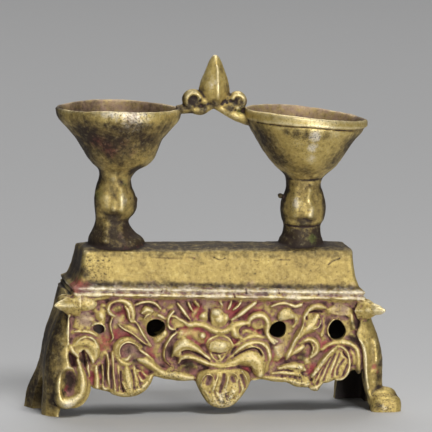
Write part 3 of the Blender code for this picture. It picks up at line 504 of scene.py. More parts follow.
# Lines in relief: width, height, how peaked the crest is where that isn't 1, and points x, z.
# A point's third value is its share of the width.
carved = {
    "spread": 1.1,  # how much wider the lines are than listed
    "broad": 0.55,  # lines wider than this gain a little more
    "gain": 0.18,
    "softness": 1.5,  # how gently they rise
}
maskLines = (
    # rays over the forehead
    (0.55, 2.1, ((-12.1, 32.7, 0.8), (-11.0, 31.4, 1.1), (-9.7, 29.7), (-8.3, 28.1, 0.6))),
    (0.6, 2.1, ((10.6, 33.3, 1.1), (8.8, 31.9, 1.1), (6.6, 30.0), (4.2, 28.3, 0.6))),
    (0.42, 1.5, ((-9.0, 33.1), (-8.4, 31.9), (-7.8, 30.8, 0.6))),
    (0.55, 1.6, ((-7.0, 33.6, 1.1), (-6.2, 32.6), (-5.6, 31.8, 0.5))),
    (0.5, 1.3, ((0.6, 33.4), (1.1, 32.6, 0.6))),
    (0.45, 1.5, ((3.7, 33.5), (3.4, 32.4), (3.0, 31.5, 0.6))),
    (0.5, 1.6, ((6.5, 33.4), (5.6, 32.2), (4.5, 31.2, 0.5))),
    (0.45, 1.1, ((9.2, 31.4, 0.7), (7.6, 30.3), (6.0, 29.1, 0.6))),
    (1.2, 0.9, 2.0, ((-6.4, 31.0, 0.8), (-7.4, 29.2, 1.0), (-6.6, 28.2, 0.8))),
    # brow with a loop at each end
    (1.0, 2.2, ((-12.0, 28.4, 0.4), (-10.4, 27.6, 0.6), (-8.8, 26.7, 0.8), (-6.6, 26.8), (-4.2, 26.5, 1.1),
        (-2.4, 25.6, 1.1), (-0.6, 24.9, 1.1), (1.4, 24.8, 1.1), (3.4, 25.5, 1.2), (5.0, 26.6, 1.1), (6.8, 27.2, 0.9),
        (9.2, 27.4, 0.6))),
    (0.5, 2.1, ((-13.4, 30.5, 0.9), (-14.5, 29.2), (-14.9, 27.6), (-14.7, 26.2), (-13.8, 25.3), (-12.6, 25.2, 0.6))),
    (0.4, 1.9, ((-13.9, 29.0, 0.7), (-12.8, 29.0), (-11.6, 28.3, 0.7))),
    (1.35, 2.4, ((4.5, 26.2, 0.9), (4.9, 24.8, 1.05), (5.6, 23.8, 0.9), (6.6, 23.2, 0.6))),
    (0.95, 2.1, ((9.3, 26.6, 0.5), (9.4, 28.2, 0.8), (11.0, 29.5), (13.1, 29.6, 1.1), (14.5, 28.3), (14.9, 26.4, 0.9),
        (14.7, 24.7, 0.8), (15.6, 22.8, 0.7), (16.8, 21.6, 0.5))),
    (0.8, 1.0, 2.0, ((7.6, 24.2, 0.8), (8.4, 25.0), (9.6, 24.6, 0.9), (11.6, 24.2, 0.8))),
    # lid, eye, nose and its collar
    (2.3, 1.1, 1.6, ((-12.0, 23.6, 0.6), (-9.6, 24.0, 0.9), (-7.0, 24.0, 1.0), (-4.8, 22.4, 0.7))),
    (0.4, 1.7, ((-3.2, 21.2, 0.7), (-2.3, 22.4), (-0.6, 23.3), (1.2, 23.5), (3.1, 22.9), (4.4, 21.4),
        (4.9, 20.2, 0.7))),
    (0.42, 1.9, ((-2.0, 18.4, 0.7), (-1.4, 17.2), (-0.4, 16.3), (0.7, 15.9), (1.7, 16.6), (2.4, 17.9, 0.7))),
    (0.75, 2.1, ((0.6, 17.5, 0.9), (0.9, 16.8, 0.8))),
    (0.4, 1.5, ((2.7, 16.3, 0.7), (4.0, 17.2), (5.5, 18.3, 0.8))),
    # cheeks
    (0.5, 2.2, ((-12.2, 24.3, 0.7), (-13.8, 22.9), (-15.1, 20.8), (-15.8, 18.4, 1.1), (-15.6, 16.4, 1.1),
        (-14.9, 15.3), (-13.6, 14.2, 0.6))),
    (1.6, 2.6, 1.1, ((-13.2, 17.2, 0.35), (-12.4, 18.8, 0.7), (-11.0, 20.4, 1.0), (-9.0, 20.9, 1.05),
        (-6.9, 20.0, 0.9), (-4.9, 18.6, 0.6), (-2.8, 17.0, 0.45), (-0.8, 15.6, 0.3))),
    (0.75, 2.1, ((5.2, 18.2, 0.5), (6.8, 19.8, 1.0), (8.8, 21.0, 1.1), (11.1, 21.6), (13.3, 21.3), (14.8, 20.0),
        (15.6, 18.0), (15.8, 16.6, 0.7))),
    (0.4, 2.5, ((9.0, 20.0, 0.6), (10.8, 20.5), (12.6, 19.8), (13.7, 18.3), (14.0, 16.8, 0.7))),
    (0.8, 1.4, 1.4, ((5.9, 20.9, 0.7), (7.6, 22.2), (9.6, 23.2), (12.0, 23.5), (14.2, 23.0, 0.7))),
    # lip, swelling into a broad lobe at its right end
    (0.95, 2.5, ((-11.2, 15.2, 0.4), (-10.7, 16.4, 0.75), (-9.3, 17.1), (-7.1, 16.9), (-4.7, 16.0), (-2.2, 15.1),
        (0.4, 14.7), (2.9, 15.0, 1.1), (5.2, 15.8, 1.4), (7.6, 16.7, 2.0), (10.3, 17.0, 2.55), (12.4, 15.6, 2.3),
        (12.9, 13.2, 1.7))),
    (0.35, 2.9, ((-0.6, 14.3, 0.6), (1.6, 14.3), (3.8, 14.5), (6.2, 14.9, 0.6))),
    (1.5, 2.0, 1.2, ((-17.6, 12.0, 0.7), (-15.2, 11.9, 1.0), (-12.4, 11.5, 1.0), (-9.8, 11.1, 0.9),
        (-7.4, 10.8, 0.6))),
    (0.9, 1.0, 1.4, ((-9.8, 14.4, 0.7), (-8.0, 14.9, 1.0), (-6.2, 14.3, 0.7))),
)

leftLines = (
    # curled leaf that falls across the field
    (0.6, 2.3, ((-30.8, 28.9, 0.6), (-32.2, 29.7), (-32.8, 31.1), (-32.2, 32.5), (-30.8, 33.3), (-29.0, 33.5, 1.2),
        (-27.4, 33.0, 1.4), (-26.3, 31.9, 1.5), (-25.7, 30.3, 1.4), (-25.4, 28.6, 1.1), (-25.2, 27.2, 0.7))),
    (0.38, 2.7, ((-27.9, 31.8, 0.6), (-27.0, 30.6), (-26.6, 28.8), (-25.9, 27.2, 0.7))),
    (1.7, 1.1, 1.6, ((-31.0, 30.8, 0.8), (-29.8, 31.4, 0.8))),
    (1.45, 1.9, 1.2, ((-29.2, 26.2, 0.35), (-27.3, 25.6, 0.6), (-25.1, 25.0, 1.0), (-23.6, 23.9, 1.05),
        (-21.9, 22.1, 0.75), (-19.8, 20.1, 0.3))),
    (0.42, 2.7, ((-24.6, 27.4, 0.7), (-23.6, 25.9), (-22.4, 23.8), (-21.0, 21.8), (-19.6, 20.1, 0.6))),
    (0.42, 2.6, ((-29.5, 26.3, 0.6), (-28.1, 25.2), (-26.0, 24.2, 1.1), (-24.2, 22.9), (-22.4, 21.5),
        (-20.2, 20.1, 0.5))),
    (0.4, 1.9, ((-31.5, 28.2, 0.6), (-32.0, 26.4), (-31.7, 24.8), (-31.2, 23.2), (-31.1, 22.2), (-31.9, 21.2, 0.7))),
    # volute and the leaf that runs from it to the hem
    (0.9, 1.9, ((-22.6, 19.8, 0.5), (-24.0, 20.9, 0.8), (-25.6, 21.7), (-27.4, 21.9), (-28.9, 21.1), (-29.8, 19.5),
        (-29.8, 17.6), (-29.1, 16.0), (-27.7, 14.9), (-26.2, 14.7, 0.7))),
    (0.36, 2.7, ((-23.2, 19.6, 0.6), (-24.6, 20.7), (-26.2, 21.3), (-27.8, 21.0), (-28.9, 19.8), (-29.2, 18.2),
        (-28.7, 17.0, 0.8))),
    (0.65, 2.4, ((-27.8, 16.2, 0.7), (-26.8, 16.1, 1.1), (-26.0, 17.0, 0.7))),
    (1.4, 2.3, 1.1, ((-22.8, 15.9, 0.6), (-21.0, 15.5, 1.0), (-19.2, 14.4, 1.0), (-17.2, 12.9, 0.9),
        (-14.8, 11.8, 0.8))),
    (0.5, 1.8, ((-24.2, 19.8, 0.6), (-22.4, 18.5), (-20.6, 17.3), (-18.8, 16.0, 0.6))),
    (1.6, 0.8, 1.6, ((-26.6, 18.8, 0.8), (-24.6, 17.2, 0.8))),
    # leaf over the second hole
    (0.5, 1.8, ((-24.5, 32.3, 0.7), (-22.7, 33.1), (-20.5, 33.3), (-18.6, 32.6), (-17.3, 31.2, 0.7))),
    (0.85, 2.1, ((-22.4, 30.1, 0.7), (-21.4, 30.9, 1.1), (-20.0, 30.6, 0.7))),
    (0.45, 1.7, ((-21.9, 28.2, 0.6), (-21.3, 29.2), (-20.2, 29.6, 0.7))),
    (0.5, 1.4, ((-18.0, 29.3, 0.6), (-16.9, 28.9), (-15.9, 28.3, 0.6))),
    (1.2, 0.9, 1.6, ((-17.2, 22.0, 0.7), (-15.8, 23.6, 0.7))),
    # dome at the shoulder of the leg, open below
    (1.9, 2.3, 1.1, ((-43.4, 18.9, 0.5), (-42.2, 20.2, 0.8), (-40.4, 20.9, 0.95), (-38.3, 20.9, 1.05),
        (-36.7, 19.5, 0.95), (-36.2, 17.3, 0.65), (-36.7, 15.2, 0.35))),
    (0.4, 2.5, ((-42.4, 20.4, 0.7), (-41.2, 21.8), (-39.6, 22.6), (-37.9, 22.5), (-36.4, 21.3), (-35.5, 19.6, 0.7))),
    (0.95, 2.4, ((-43.6, 19.6, 0.9), (-42.6, 18.0, 0.9), (-41.3, 16.8, 0.55))),
    (0.6, 2.0, ((-41.3, 15.6, 0.7), (-40.7, 14.2, 0.9))),
    (0.5, 2.2, ((-37.4, 17.0, 0.7), (-36.8, 15.2, 0.9))),
    # lumpy ground beside the leg, and the ring over the blind hole
    (2.0, 1.3, 1.4, ((-41.0, 29.4, 0.7), (-39.8, 28.0, 0.9), (-38.2, 27.8, 0.7))),
    (1.3, 1.1, 1.4, ((-36.4, 30.4, 0.8), (-35.0, 29.0, 1.0), (-34.2, 27.4, 0.7))),
    (1.2, 0.9, 1.4, ((-41.2, 25.4, 0.8), (-39.0, 25.2, 0.9))),
    (1.0, 1.0, 1.4, ((-34.2, 31.8, 0.8), (-33.2, 31.6, 0.8))),
    (0.42, 1.6, ((-37.3, 25.9, 0.6), (-36.2, 26.6), (-34.8, 26.5), (-33.7, 25.5), (-33.5, 24.2, 0.7))),
    (0.5, 1.2, ((-42.6, 24.0, 0.6), (-40.4, 24.1), (-38.0, 23.9), (-36.0, 22.9, 0.6))),
    # pleated lobe at the hem
    (0.5, 1.5, ((-38.6, 15.0, 0.7), (-38.2, 13.0), (-37.6, 10.8, 0.7))),
    (0.95, 1.5, 1.2, ((-35.6, 13.4, 0.6), (-35.4, 10.6, 1.0), (-35.2, 8.0, 0.9))),
    (0.45, 1.7, ((-33.9, 14.2, 0.7), (-33.7, 11.6), (-33.6, 9.2, 0.8))),
    (0.7, 1.9, ((-33.6, 8.2, 0.6), (-33.2, 7.3, 0.9), (-32.2, 7.2, 0.7))),
    (0.5, 2.1, ((-32.6, 17.4, 0.6), (-32.2, 14.8), (-32.2, 11.4), (-31.8, 8.6, 0.8))),
    (0.55, 2.3, ((-31.2, 18.0, 0.6), (-30.9, 15.6, 1.1), (-30.7, 12.4), (-30.2, 9.0), (-30.0, 6.9, 1.3))),
    (0.42, 1.9, ((-29.3, 14.0, 0.7), (-29.1, 11.4), (-28.8, 8.6), (-28.6, 6.8, 0.9))),
    (1.7, 2.2, 1.2, ((-26.8, 13.6, 0.6), (-26.5, 11.4, 1.0), (-26.0, 8.8, 1.1), (-25.4, 7.0, 0.9))),
    (0.42, 2.4, ((-27.9, 9.2, 0.6), (-27.2, 7.8), (-26.2, 6.2, 0.7))),
    (1.2, 1.7, 1.2, ((-19.3, 11.2, 0.6), (-20.4, 9.2, 0.9), (-22.2, 7.6, 1.1), (-24.4, 6.4, 1.0), (-27.4, 5.7, 0.8),
        (-30.2, 6.2, 0.7))),
    (0.5, 1.5, ((-24.4, 13.6, 0.7), (-24.2, 11.6), (-23.4, 9.8, 0.8))),
    # brow that runs from the spur under the ledge
    (1.3, 2.3, ((-46.0, 32.9, 1.3), (-43.0, 32.5, 1.4), (-40.0, 33.2, 1.1), (-36.6, 34.0, 0.8), (-33.0, 34.4, 0.4))),
    (0.4, 1.3, ((-44.3, 29.6, 0.7), (-44.4, 26.0), (-44.3, 22.6), (-44.1, 19.8, 0.7))),
)

rightLines = (
    # long curled leaf
    (1.15, 2.3, ((31.6, 32.3, 0.6), (30.0, 32.7, 1.0), (28.3, 32.5, 0.9), (26.8, 31.2, 0.7), (26.0, 29.6, 0.6),
        (25.6, 28.0, 0.6))),
    (1.05, 2.4, 1.1, ((29.2, 29.4, 1.2), (28.4, 28.0, 2.0), (26.9, 26.4, 1.8), (25.0, 24.6, 1.25), (23.4, 22.4, 0.85),
        (22.2, 20.0, 0.75), (21.2, 17.8, 0.85), (20.9, 16.8, 0.5))),
    (0.35, 2.8, ((25.5, 28.6, 0.6), (25.2, 26.8), (24.2, 24.6), (22.9, 22.4), (21.9, 20.2, 0.6))),
    (0.4, 2.7, ((29.8, 30.0, 0.5), (30.5, 28.6), (30.0, 26.8), (28.6, 25.8, 0.7))),
    # bud over the third hole
    (1.7, 2.0, 1.2, ((19.4, 29.7, 0.9), (20.4, 30.4, 1.0), (21.4, 30.0, 0.8))),
    (0.55, 1.7, ((15.8, 32.4, 0.6), (17.6, 33.2), (19.8, 33.5), (21.6, 33.0), (22.8, 32.6, 1.1), (24.2, 33.0, 1.5))),
    (0.7, 0.9, 1.5, ((23.0, 29.6, 0.8), (23.4, 27.8, 0.9), (22.6, 26.4, 0.7))),
    # hooked tendril
    (0.85, 2.0, ((22.4, 18.3, 0.7), (23.9, 19.5, 1.1), (25.4, 20.4, 0.9))),
    (0.95, 2.2, ((24.8, 21.6, 0.5), (26.0, 22.4, 0.9), (27.6, 22.7), (29.1, 21.9), (29.8, 20.3), (29.4, 18.8, 0.9),
        (28.3, 17.7, 0.6))),
    (0.35, 2.5, ((28.0, 21.4, 0.7), (28.6, 20.2), (28.2, 18.8, 0.7))),
    # low leaves and the lumpy border
    (1.1, 2.1, 1.1, ((18.4, 14.1, 0.3), (20.8, 14.6, 0.8), (23.2, 14.7, 1.05), (25.3, 14.3, 0.95),
        (26.4, 13.6, 0.5))),
    (0.75, 1.8, ((16.6, 12.4, 0.5), (19.2, 12.7, 0.9), (22.0, 12.5, 1.0), (24.8, 12.2, 0.8))),
    (1.1, 1.5, 1.3, ((13.8, 11.2, 0.6), (17.4, 11.0, 0.9), (21.2, 10.7, 0.9), (24.4, 9.8, 1.1), (27.2, 9.4, 1.0))),
    (1.2, 0.8, 1.5, ((17.4, 18.8, 0.8), (18.2, 17.0, 0.8))),
    (1.2, 0.9, 1.5, ((25.0, 17.0, 0.7), (27.0, 16.2, 0.8))),
    # framed lobe with slanting leaves
    (0.95, 2.4, ((36.4, 20.8, 0.4), (35.0, 19.8, 0.8), (33.2, 18.0, 1.1), (31.6, 15.9, 1.05), (30.2, 14.0, 0.9),
        (28.8, 12.0, 0.7))),
    (0.35, 2.8, ((35.6, 20.8, 0.6), (34.0, 19.6), (32.2, 17.6), (30.6, 15.2, 0.6))),
    (0.5, 2.1, ((36.2, 20.9, 0.7), (37.6, 20.4), (38.9, 18.9), (39.6, 16.8), (39.6, 14.6), (38.9, 12.5), (37.7, 11.2),
        (36.0, 10.9, 0.7))),
    (0.5, 1.8, ((36.7, 19.5, 0.6), (37.1, 18.3), (38.1, 17.3), (38.4, 16.0, 0.7))),
    (0.5, 1.8, ((35.9, 17.4, 0.6), (35.2, 15.9), (34.5, 14.2), (34.2, 12.4, 0.7))),
    (0.5, 1.8, ((33.4, 16.4, 0.6), (32.9, 14.8), (32.4, 13.2), (31.9, 11.4, 0.8))),
    (0.5, 1.7, ((31.2, 13.4, 0.6), (30.8, 11.6), (30.6, 10.0, 0.8))),
    (1.0, 1.7, ((37.0, 13.5, 0.9), (37.3, 12.7, 0.9))),
    (0.45, 1.6, ((35.6, 14.6, 0.6), (36.6, 15.2), (37.8, 14.8), (38.5, 13.6, 0.7))),
    (1.0, 2.0, ((28.9, 8.3, 0.7), (30.0, 8.5, 1.1), (31.0, 9.2, 0.7))),
    (1.0, 1.4, 1.2, ((31.6, 10.4, 0.8), (33.6, 10.8, 0.9), (35.4, 11.6, 0.6))),
    (0.95, 1.5, 1.3, ((31.6, 19.8, 0.5), (33.4, 21.2, 0.8), (36.0, 21.9), (39.0, 21.8), (41.2, 20.7), (42.2, 18.8),
        (42.5, 16.0, 0.9), (42.7, 13.2, 0.6))),
    (0.6, 1.2, 1.2, ((40.0, 19.6, 0.6), (41.0, 17.8), (41.0, 15.6, 0.6))),
    # ground round the last hole
    (0.5, 1.8, ((36.2, 29.0, 0.6), (34.6, 28.8), (33.4, 27.6), (32.8, 26.0), (33.1, 24.4), (34.4, 22.9, 0.7))),
    (0.5, 1.6, ((14.9, 28.6, 0.7), (14.2, 26.6), (14.6, 24.6), (16.0, 23.0), (18.0, 21.9, 0.7))),
    (0.9, 1.2, 1.4, ((39.8, 30.2, 0.7), (40.2, 28.2, 1.0), (40.8, 26.4, 0.8))),
    (1.2, 0.9, 1.4, ((33.2, 31.6, 0.8), (35.6, 31.9, 1.0), (38.2, 31.4, 0.8))),
    (0.9, 0.9, 1.4, ((31.6, 28.4, 0.7), (31.8, 26.4, 0.8), (31.2, 24.2, 0.8))),
)

bumps = (  # x, z, out, then the half sizes across, out and up
    (0.5, 28.6, 0.9, 1.8, 1.5, 2.0), (-0.7, 30.4, 1.1, 1.5, 1.6, 1.2), (2.2, 28.7, 0.7, 1.0, 1.4, 1.3),
    (-4.4, 29.3, 0.4, 1.2, 1.3, 1.0), (-4.5, 23.6, 1.0, 1.05, 1.4, 1.05),
    (0.5, 20.3, 0.8, 3.2, 1.9, 1.9), (1.2, 20.6, 0.9, 2.2, 1.9, 1.5),
    (-12.6, 12.0, 0.2, 1.6, 1.9, 1.0),
)

fan = (2.8, (  # height and outline
    (-5.9, 10.6), (-5.6, 9.0), (-4.6, 7.0), (-3.4, 5.0), (-2.2, 3.4), (-0.5, 2.3), (1.5, 1.8), (3.8, 1.9),
    (5.6, 2.8), (7.4, 4.6), (9.0, 6.8), (10.2, 9.0), (10.4, 10.8), (9.6, 12.8), (6.4, 14.0), (1.6, 14.4),
    (-3.2, 13.6), (-5.4, 12.2),
))
fanLines = (  # on the lobe that hangs below the mask
    (0.45, 3.5, ((-4.6, 8.6, 0.7), (-4.4, 10.6), (-3.2, 12.0), (-1.9, 12.0), (-1.0, 11.0), (-1.3, 9.2),
        (-2.4, 7.4, 0.7))),
    (0.6, 3.7, ((0.3, 12.0, 0.8), (-0.2, 10.2, 1.1), (-0.8, 8.2), (-1.4, 6.4, 0.6))),
    (0.5, 3.6, ((3.4, 11.9, 0.7), (3.2, 10.2), (2.8, 8.6, 0.9))),
    (0.45, 3.6, ((4.0, 12.6, 0.6), (5.4, 12.4), (6.3, 11.2), (6.0, 9.8, 0.8))),
    (1.7, 3.5, 1.3, ((5.4, 8.8, 0.7), (4.8, 6.6, 1.0), (3.8, 4.6, 0.7))),
    (0.4, 3.6, ((7.6, 13.1, 0.8), (8.7, 11.2), (9.6, 9.2, 0.6))),
    (0.7, 3.4, ((8.4, 10.2, 0.6), (7.8, 7.8, 0.9), (6.6, 5.6, 0.6))),
)


def carving(skin):
    for width, height, *crest, points in maskLines + leftLines + rightLines + fanLines:
        wide = width * carved["spread"] + (carved["gain"] if width > carved["broad"] else 0.0)
        stroke(skin, front, points, wide, height, carved["softness"] * (crest[0] if crest else 1.0))
    for x, z, out, *half in bumps:
        blob(skin, front(x, z, out), half)
    for height, outline in masses:
        plate(skin, front, height, outline)
    plate(skin, front, *fan)


def backCarving(skin):  # much plainer: a fan, two volutes and two leaves a side
    lines = (
        (1.0, 1.6, spiral((11.5, 24.5), 5.0, 1.6, -150, 160)),
        (1.5, 1.6, ((16.0, 14.0, 0.6), (23.0, 18.0, 1.2), (29.0, 25.0, 1.2), (33.0, 30.0, 0.5))),
        (1.5, 1.6, ((26.0, 12.5, 0.6), (32.0, 16.5, 1.2), (38.5, 20.0, 0.6))),
        (1.1, 1.4, ((5.0, 12.5), (15.0, 12.2), (26.0, 9.6), (36.0, 12.0))),
    )
    for width, height, points in lines:
        for side in (-1, 1):
            stroke(skin, back, [(side * point[0], *point[1:]) for point in points], width, height)
    for x in (-6, -3, 0, 3, 6):
        stroke(skin, back, ((0.35 * x, 11.0, 0.6), (x, 18.5)), 1.1, 1.7)
    blob(skin, back(0.0, 28.0, 0.2), (2.6, 1.8, 2.6))


# Soft swells on the front of the cast skin: half width, height and points x, z
swells = (
    # stems: facets that catch the light
    (2.0, 0.75, ((-28.6, 65.0), (-28.6, 62.0), (-28.9, 59.6))),
    (2.2, 0.7, ((-33.8, 63.0), (-33.2, 61.0), (-32.0, 59.4))),
    (1.3, 0.4, ((-30.9, 61.4), (-30.9, 59.4))),
    (1.8, 0.5, ((-33.4, 69.4), (-31.6, 68.4))),
    (1.6, 0.4, ((-28.6, 69.4), (-27.4, 68.0))),
    (1.8, 0.9, ((-33.0, 55.2), (-33.2, 52.6), (-33.6, 50.4))),
    (1.6, 0.6, ((-28.8, 53.6), (-27.8, 51.4))),
    (1.8, 0.6, ((22.6, 66.0), (22.8, 62.0), (22.9, 58.8))),
    (1.6, 0.6, ((27.4, 66.0), (27.0, 63.6), (28.2, 60.6), (27.8, 58.6))),
    (1.2, 0.4, ((21.4, 70.8), (24.2, 70.9))),
    (1.0, 0.4, ((28.4, 70.2), (30.2, 70.4))),
    (1.8, 0.5, ((22.4, 53.2), (24.6, 52.2))),
    # bud: its ridge and the edge beside it
    (0.9, 0.3, ((-1.0, 103.6), (-0.9, 99.8), (-0.8, 95.6), (-0.6, 92.6))),
    (0.7, 0.3, ((0.6, 101.8), (1.7, 98.8), (2.2, 95.2))),
    # right leg: a ridge along its inner edge and a bulge beside it; left leg: its crisp edge
    (0.9, 0.5, ((40.2, 24.2), (41.8, 23.0), (43.2, 21.4), (44.0, 18.9), (44.3, 16.2), (44.4, 13.6), (44.8, 11.0),
                (45.3, 8.8))),
    (1.6, 0.6, ((47.6, 22.6), (48.2, 19.6), (48.2, 16.8))),
    (0.7, 0.4, ((-44.3, 28.8), (-44.4, 25.0), (-44.3, 20.6))),
    # lid and ground beside the mask
    (2.6, 0.5, ((-10.4, 23.6), (-7.4, 24.2), (-4.8, 22.6))),
    (1.6, 0.4, ((17.8, 20.6), (18.6, 17.4))),
    (2.0, 0.5, ((-33.6, 31.4), (-34.8, 28.8))),
    (1.4, 0.4, ((-30.2, 25.6), (-28.4, 28.4))),
)

# Lines cut into it: half width, depth and points x, z
cuts = (
    (0.6, 0.7, ((-2.6, 31.0), (-2.7, 29.4), (-2.4, 27.8))),
    (0.4, 0.5, ((-1.4, 18.4), (0.6, 18.2), (2.4, 18.6))),
    (0.45, 0.7, ((-10.6, 18.5), (-8.8, 19.0), (-6.9, 18.5), (-4.6, 17.4), (-2.2, 15.9))),
    (0.35, 0.6, ((5.2, 17.4), (7.8, 18.9), (10.4, 19.9), (12.2, 19.5), (13.2, 18.0))),
    # fan
    (0.9, 0.65, ((2.2, 11.9), (1.8, 9.6), (1.2, 7.0))),
    (1.0, 0.5, ((-2.2, 11.0), (-2.7, 9.4))),
    (1.0, 0.5, ((4.6, 11.1), (4.9, 10.3))),
    (0.7, 0.5, ((7.2, 11.9), (8.0, 10.0), (8.6, 8.4))),
    (0.7, 0.29, ((5.6, 12.4), (6.8, 9.6), (7.0, 6.6))),
    (0.6, 0.25, ((-0.6, 7.2), (0.4, 4.2))),
    (0.35, 0.29, ((-3.6, 6.8), (-2.0, 4.2))),
    (0.35, 0.25, ((2.8, 6.4), (3.4, 4.4))),
    # groove down the right leg, and its ankle
    (1.3, 0.3, ((45.6, 24.2), (46.1, 20.6), (46.2, 17.0), (46.0, 13.6))),
    (1.8, 0.5, ((46.8, 12.4), (49.4, 11.4))),
    # hollow of the left foot and the gap over it
    (2.5, 1.9, ((-43.4, 11.4), (-43.2, 9.0), (-43.6, 6.8))),
    (1.5, 1.2, ((-43.2, 16.6), (-42.8, 14.2))),
    # shoulder leaf and pleats
    (0.75, 1.3, ((-39.7, 18.2), (-39.4, 16.2), (-38.8, 13.8))),
    (0.3, 0.5, ((-28.4, 12.4), (-28.2, 9.0), (-27.4, 6.4))),
    (0.9, 0.7, ((-22.6, 11.8), (-21.6, 10.6))),
    # grooves of the framed lobe
    (0.55, 0.37, ((33.9, 17.6), (32.4, 14.8), (30.8, 11.4), (30.2, 9.4))),
    (0.55, 0.37, ((35.3, 18.4), (33.8, 15.4), (32.6, 12.4), (32.2, 10.6))),
    (0.55, 0.37, ((36.6, 18.6), (35.6, 15.8), (34.8, 13.4), (34.6, 11.6))),
    (0.55, 0.37, ((38.0, 17.0), (37.0, 15.6), (36.2, 14.2), (36.0, 12.4))),
    (0.45, 0.31, ((39.0, 15.4), (38.4, 13.8), (37.8, 12.2))),
    (0.45, 0.25, ((31.8, 15.0), (30.4, 12.6), (29.4, 10.4))),
    # grooves of the pleated lobe
    (0.45, 0.37, ((-25.2, 12.8), (-24.6, 10.4), (-24.4, 7.6))),
    (0.45, 0.31, ((-23.4, 11.4), (-22.6, 9.2), (-22.4, 7.6))),
    (0.45, 0.31, ((-31.4, 13.6), (-31.3, 10.4), (-31.0, 7.4))),
    # leaves at the right
    (0.5, 0.7, ((26.3, 29.4), (26.4, 28.9))),
    (0.45, 0.7, ((27.2, 30.9), (28.8, 31.1), (31.0, 30.9))),
    (0.35, 0.5, ((18.4, 13.4), (20.8, 13.5), (22.8, 13.2))),
    (0.3, 0.5, ((37.6, 19.2), (38.2, 18.2), (39.0, 17.4))),
    # stems
    (1.0, 0.3, ((-34.9, 58.4), (-32.6, 57.8), (-30.0, 57.2), (-27.8, 57.4))),
    (0.4, 0.35, ((19.6, 55.5), (22.4, 55.2), (25.6, 55.1), (28.8, 55.2), (32.0, 55.6))),
    (1.0, 0.3, ((21.0, 57.8), (23.4, 57.0), (25.8, 57.4), (28.2, 56.8), (30.2, 57.4))),
    (0.7, 0.3, ((20.6, 69.2), (23.8, 69.0), (26.8, 69.0), (31.0, 69.2))),
    # step under the band of the right cup
    (0.35, 0.3, ((10.6, 86.2), (16.0, 86.1), (22.0, 86.0), (28.0, 85.7), (34.0, 85.1), (38.6, 84.6))),
    # scratches on the block
    (0.5, 0.1, ((-19.6, 46.0), (-14.0, 45.8), (-11.0, 45.9))),
    (0.5, 0.13, ((-9.6, 46.2), (-7.0, 45.9))),
    (0.4, 0.16, ((-1.4, 46.2), (0.4, 45.6), (2.0, 46.1))),
    (0.5, 0.2, ((32.8, 44.8), (34.0, 45.7), (36.2, 46.5))),
    (0.4, 0.12, ((10.6, 45.6), (12.0, 45.4))),
    (0.45, 0.12, ((17.8, 45.9), (21.2, 45.8))),
    # breaks in the ledge's beads
    (0.4, 0.5, ((4.4, 35.9), (4.7, 34.9))),
    (0.45, 0.6, ((7.9, 37.4), (8.1, 36.3))),
    (0.4, 0.4, ((-17.0, 37.2), (-17.2, 36.4))),
    (0.4, 0.5, ((17.6, 37.4), (17.8, 36.4))),
    (0.4, 0.4, ((29.4, 37.2), (29.6, 36.3))),
    (0.4, 0.4, ((-31.6, 35.8), (-31.4, 34.9))),
)

# Round pocks left by the mould: middle, reach, how many, smallest and largest radius, depth as a share of radius
pocks = (
    ((-36.0, -12.6, 43.0), 4.6, 60, 0.16, 0.4, 0.45),
    ((0.0, -12.0, 47.4), 40.0, 50, 0.12, 0.34, 0.35),
    ((-28.0, -17.0, 87.6), 10.0, 60, 0.12, 0.26, 0.4),
    ((28.0, -15.0, 85.0), 9.0, 50, 0.12, 0.28, 0.4),
    ((24.0, -5.0, 63.0), 5.0, 18, 0.14, 0.3, 0.5),
    ((50.6, -16.0, 3.4), 5.0, 40, 0.16, 0.36, 0.4),
    ((46.0, -15.5, 32.0), 5.0, 45, 0.16, 0.4, 0.45),
    ((2.4, -16.0, 4.4), 5.0, 90, 0.18, 0.5, 0.6),
    ((24.0, -14.0, 10.6), 5.5, 90, 0.16, 0.45, 0.6),
    ((31.0, -14.0, 10.0), 5.5, 70, 0.16, 0.45, 0.6),
    ((-13.0, -14.0, 11.6), 5.5, 60, 0.16, 0.4, 0.5),
    ((-25.0, -14.0, 7.0), 5.5, 60, 0.16, 0.4, 0.5),
    ((-38.0, -13.4, 28.0), 6.0, 60, 0.2, 0.5, 0.5),
    ((36.0, -13.4, 31.0), 5.0, 50, 0.2, 0.5, 0.45),
    ((-42.0, -15.5, 3.4), 4.0, 14, 0.2, 0.4, 0.5),
    ((4.0, -2.0, 90.0), 3.4, 30, 0.16, 0.36, 0.5),
    ((12.6, -15.0, 13.6), 3.4, 24, 0.16, 0.36, 0.5),
    ((0.0, 0.0, 45.0), 70.0, 500, 0.12, 0.36, 0.35),
)

casting = {
    "voxel": 0.3,  # fineness of the fused skin, in mm
    "keptShare": 0.205,  # share of its faces that the skin keeps
    "sharpAngle": 55,  # edges crisper than this, in degrees, stay crisp
    # size and height of the lumps that the mould left, in mm
    "lumps": ((6.5, 0.15), (2.6, 0.09), (1.2, 0.05)),
    "ledgeLump": 0.26,  # how much lumpier the beads of the ledge are
    "spurLump": 0.3,  # the same for the front spurs
    "groundLump": 0.3,  # and for the floor of the carving
}


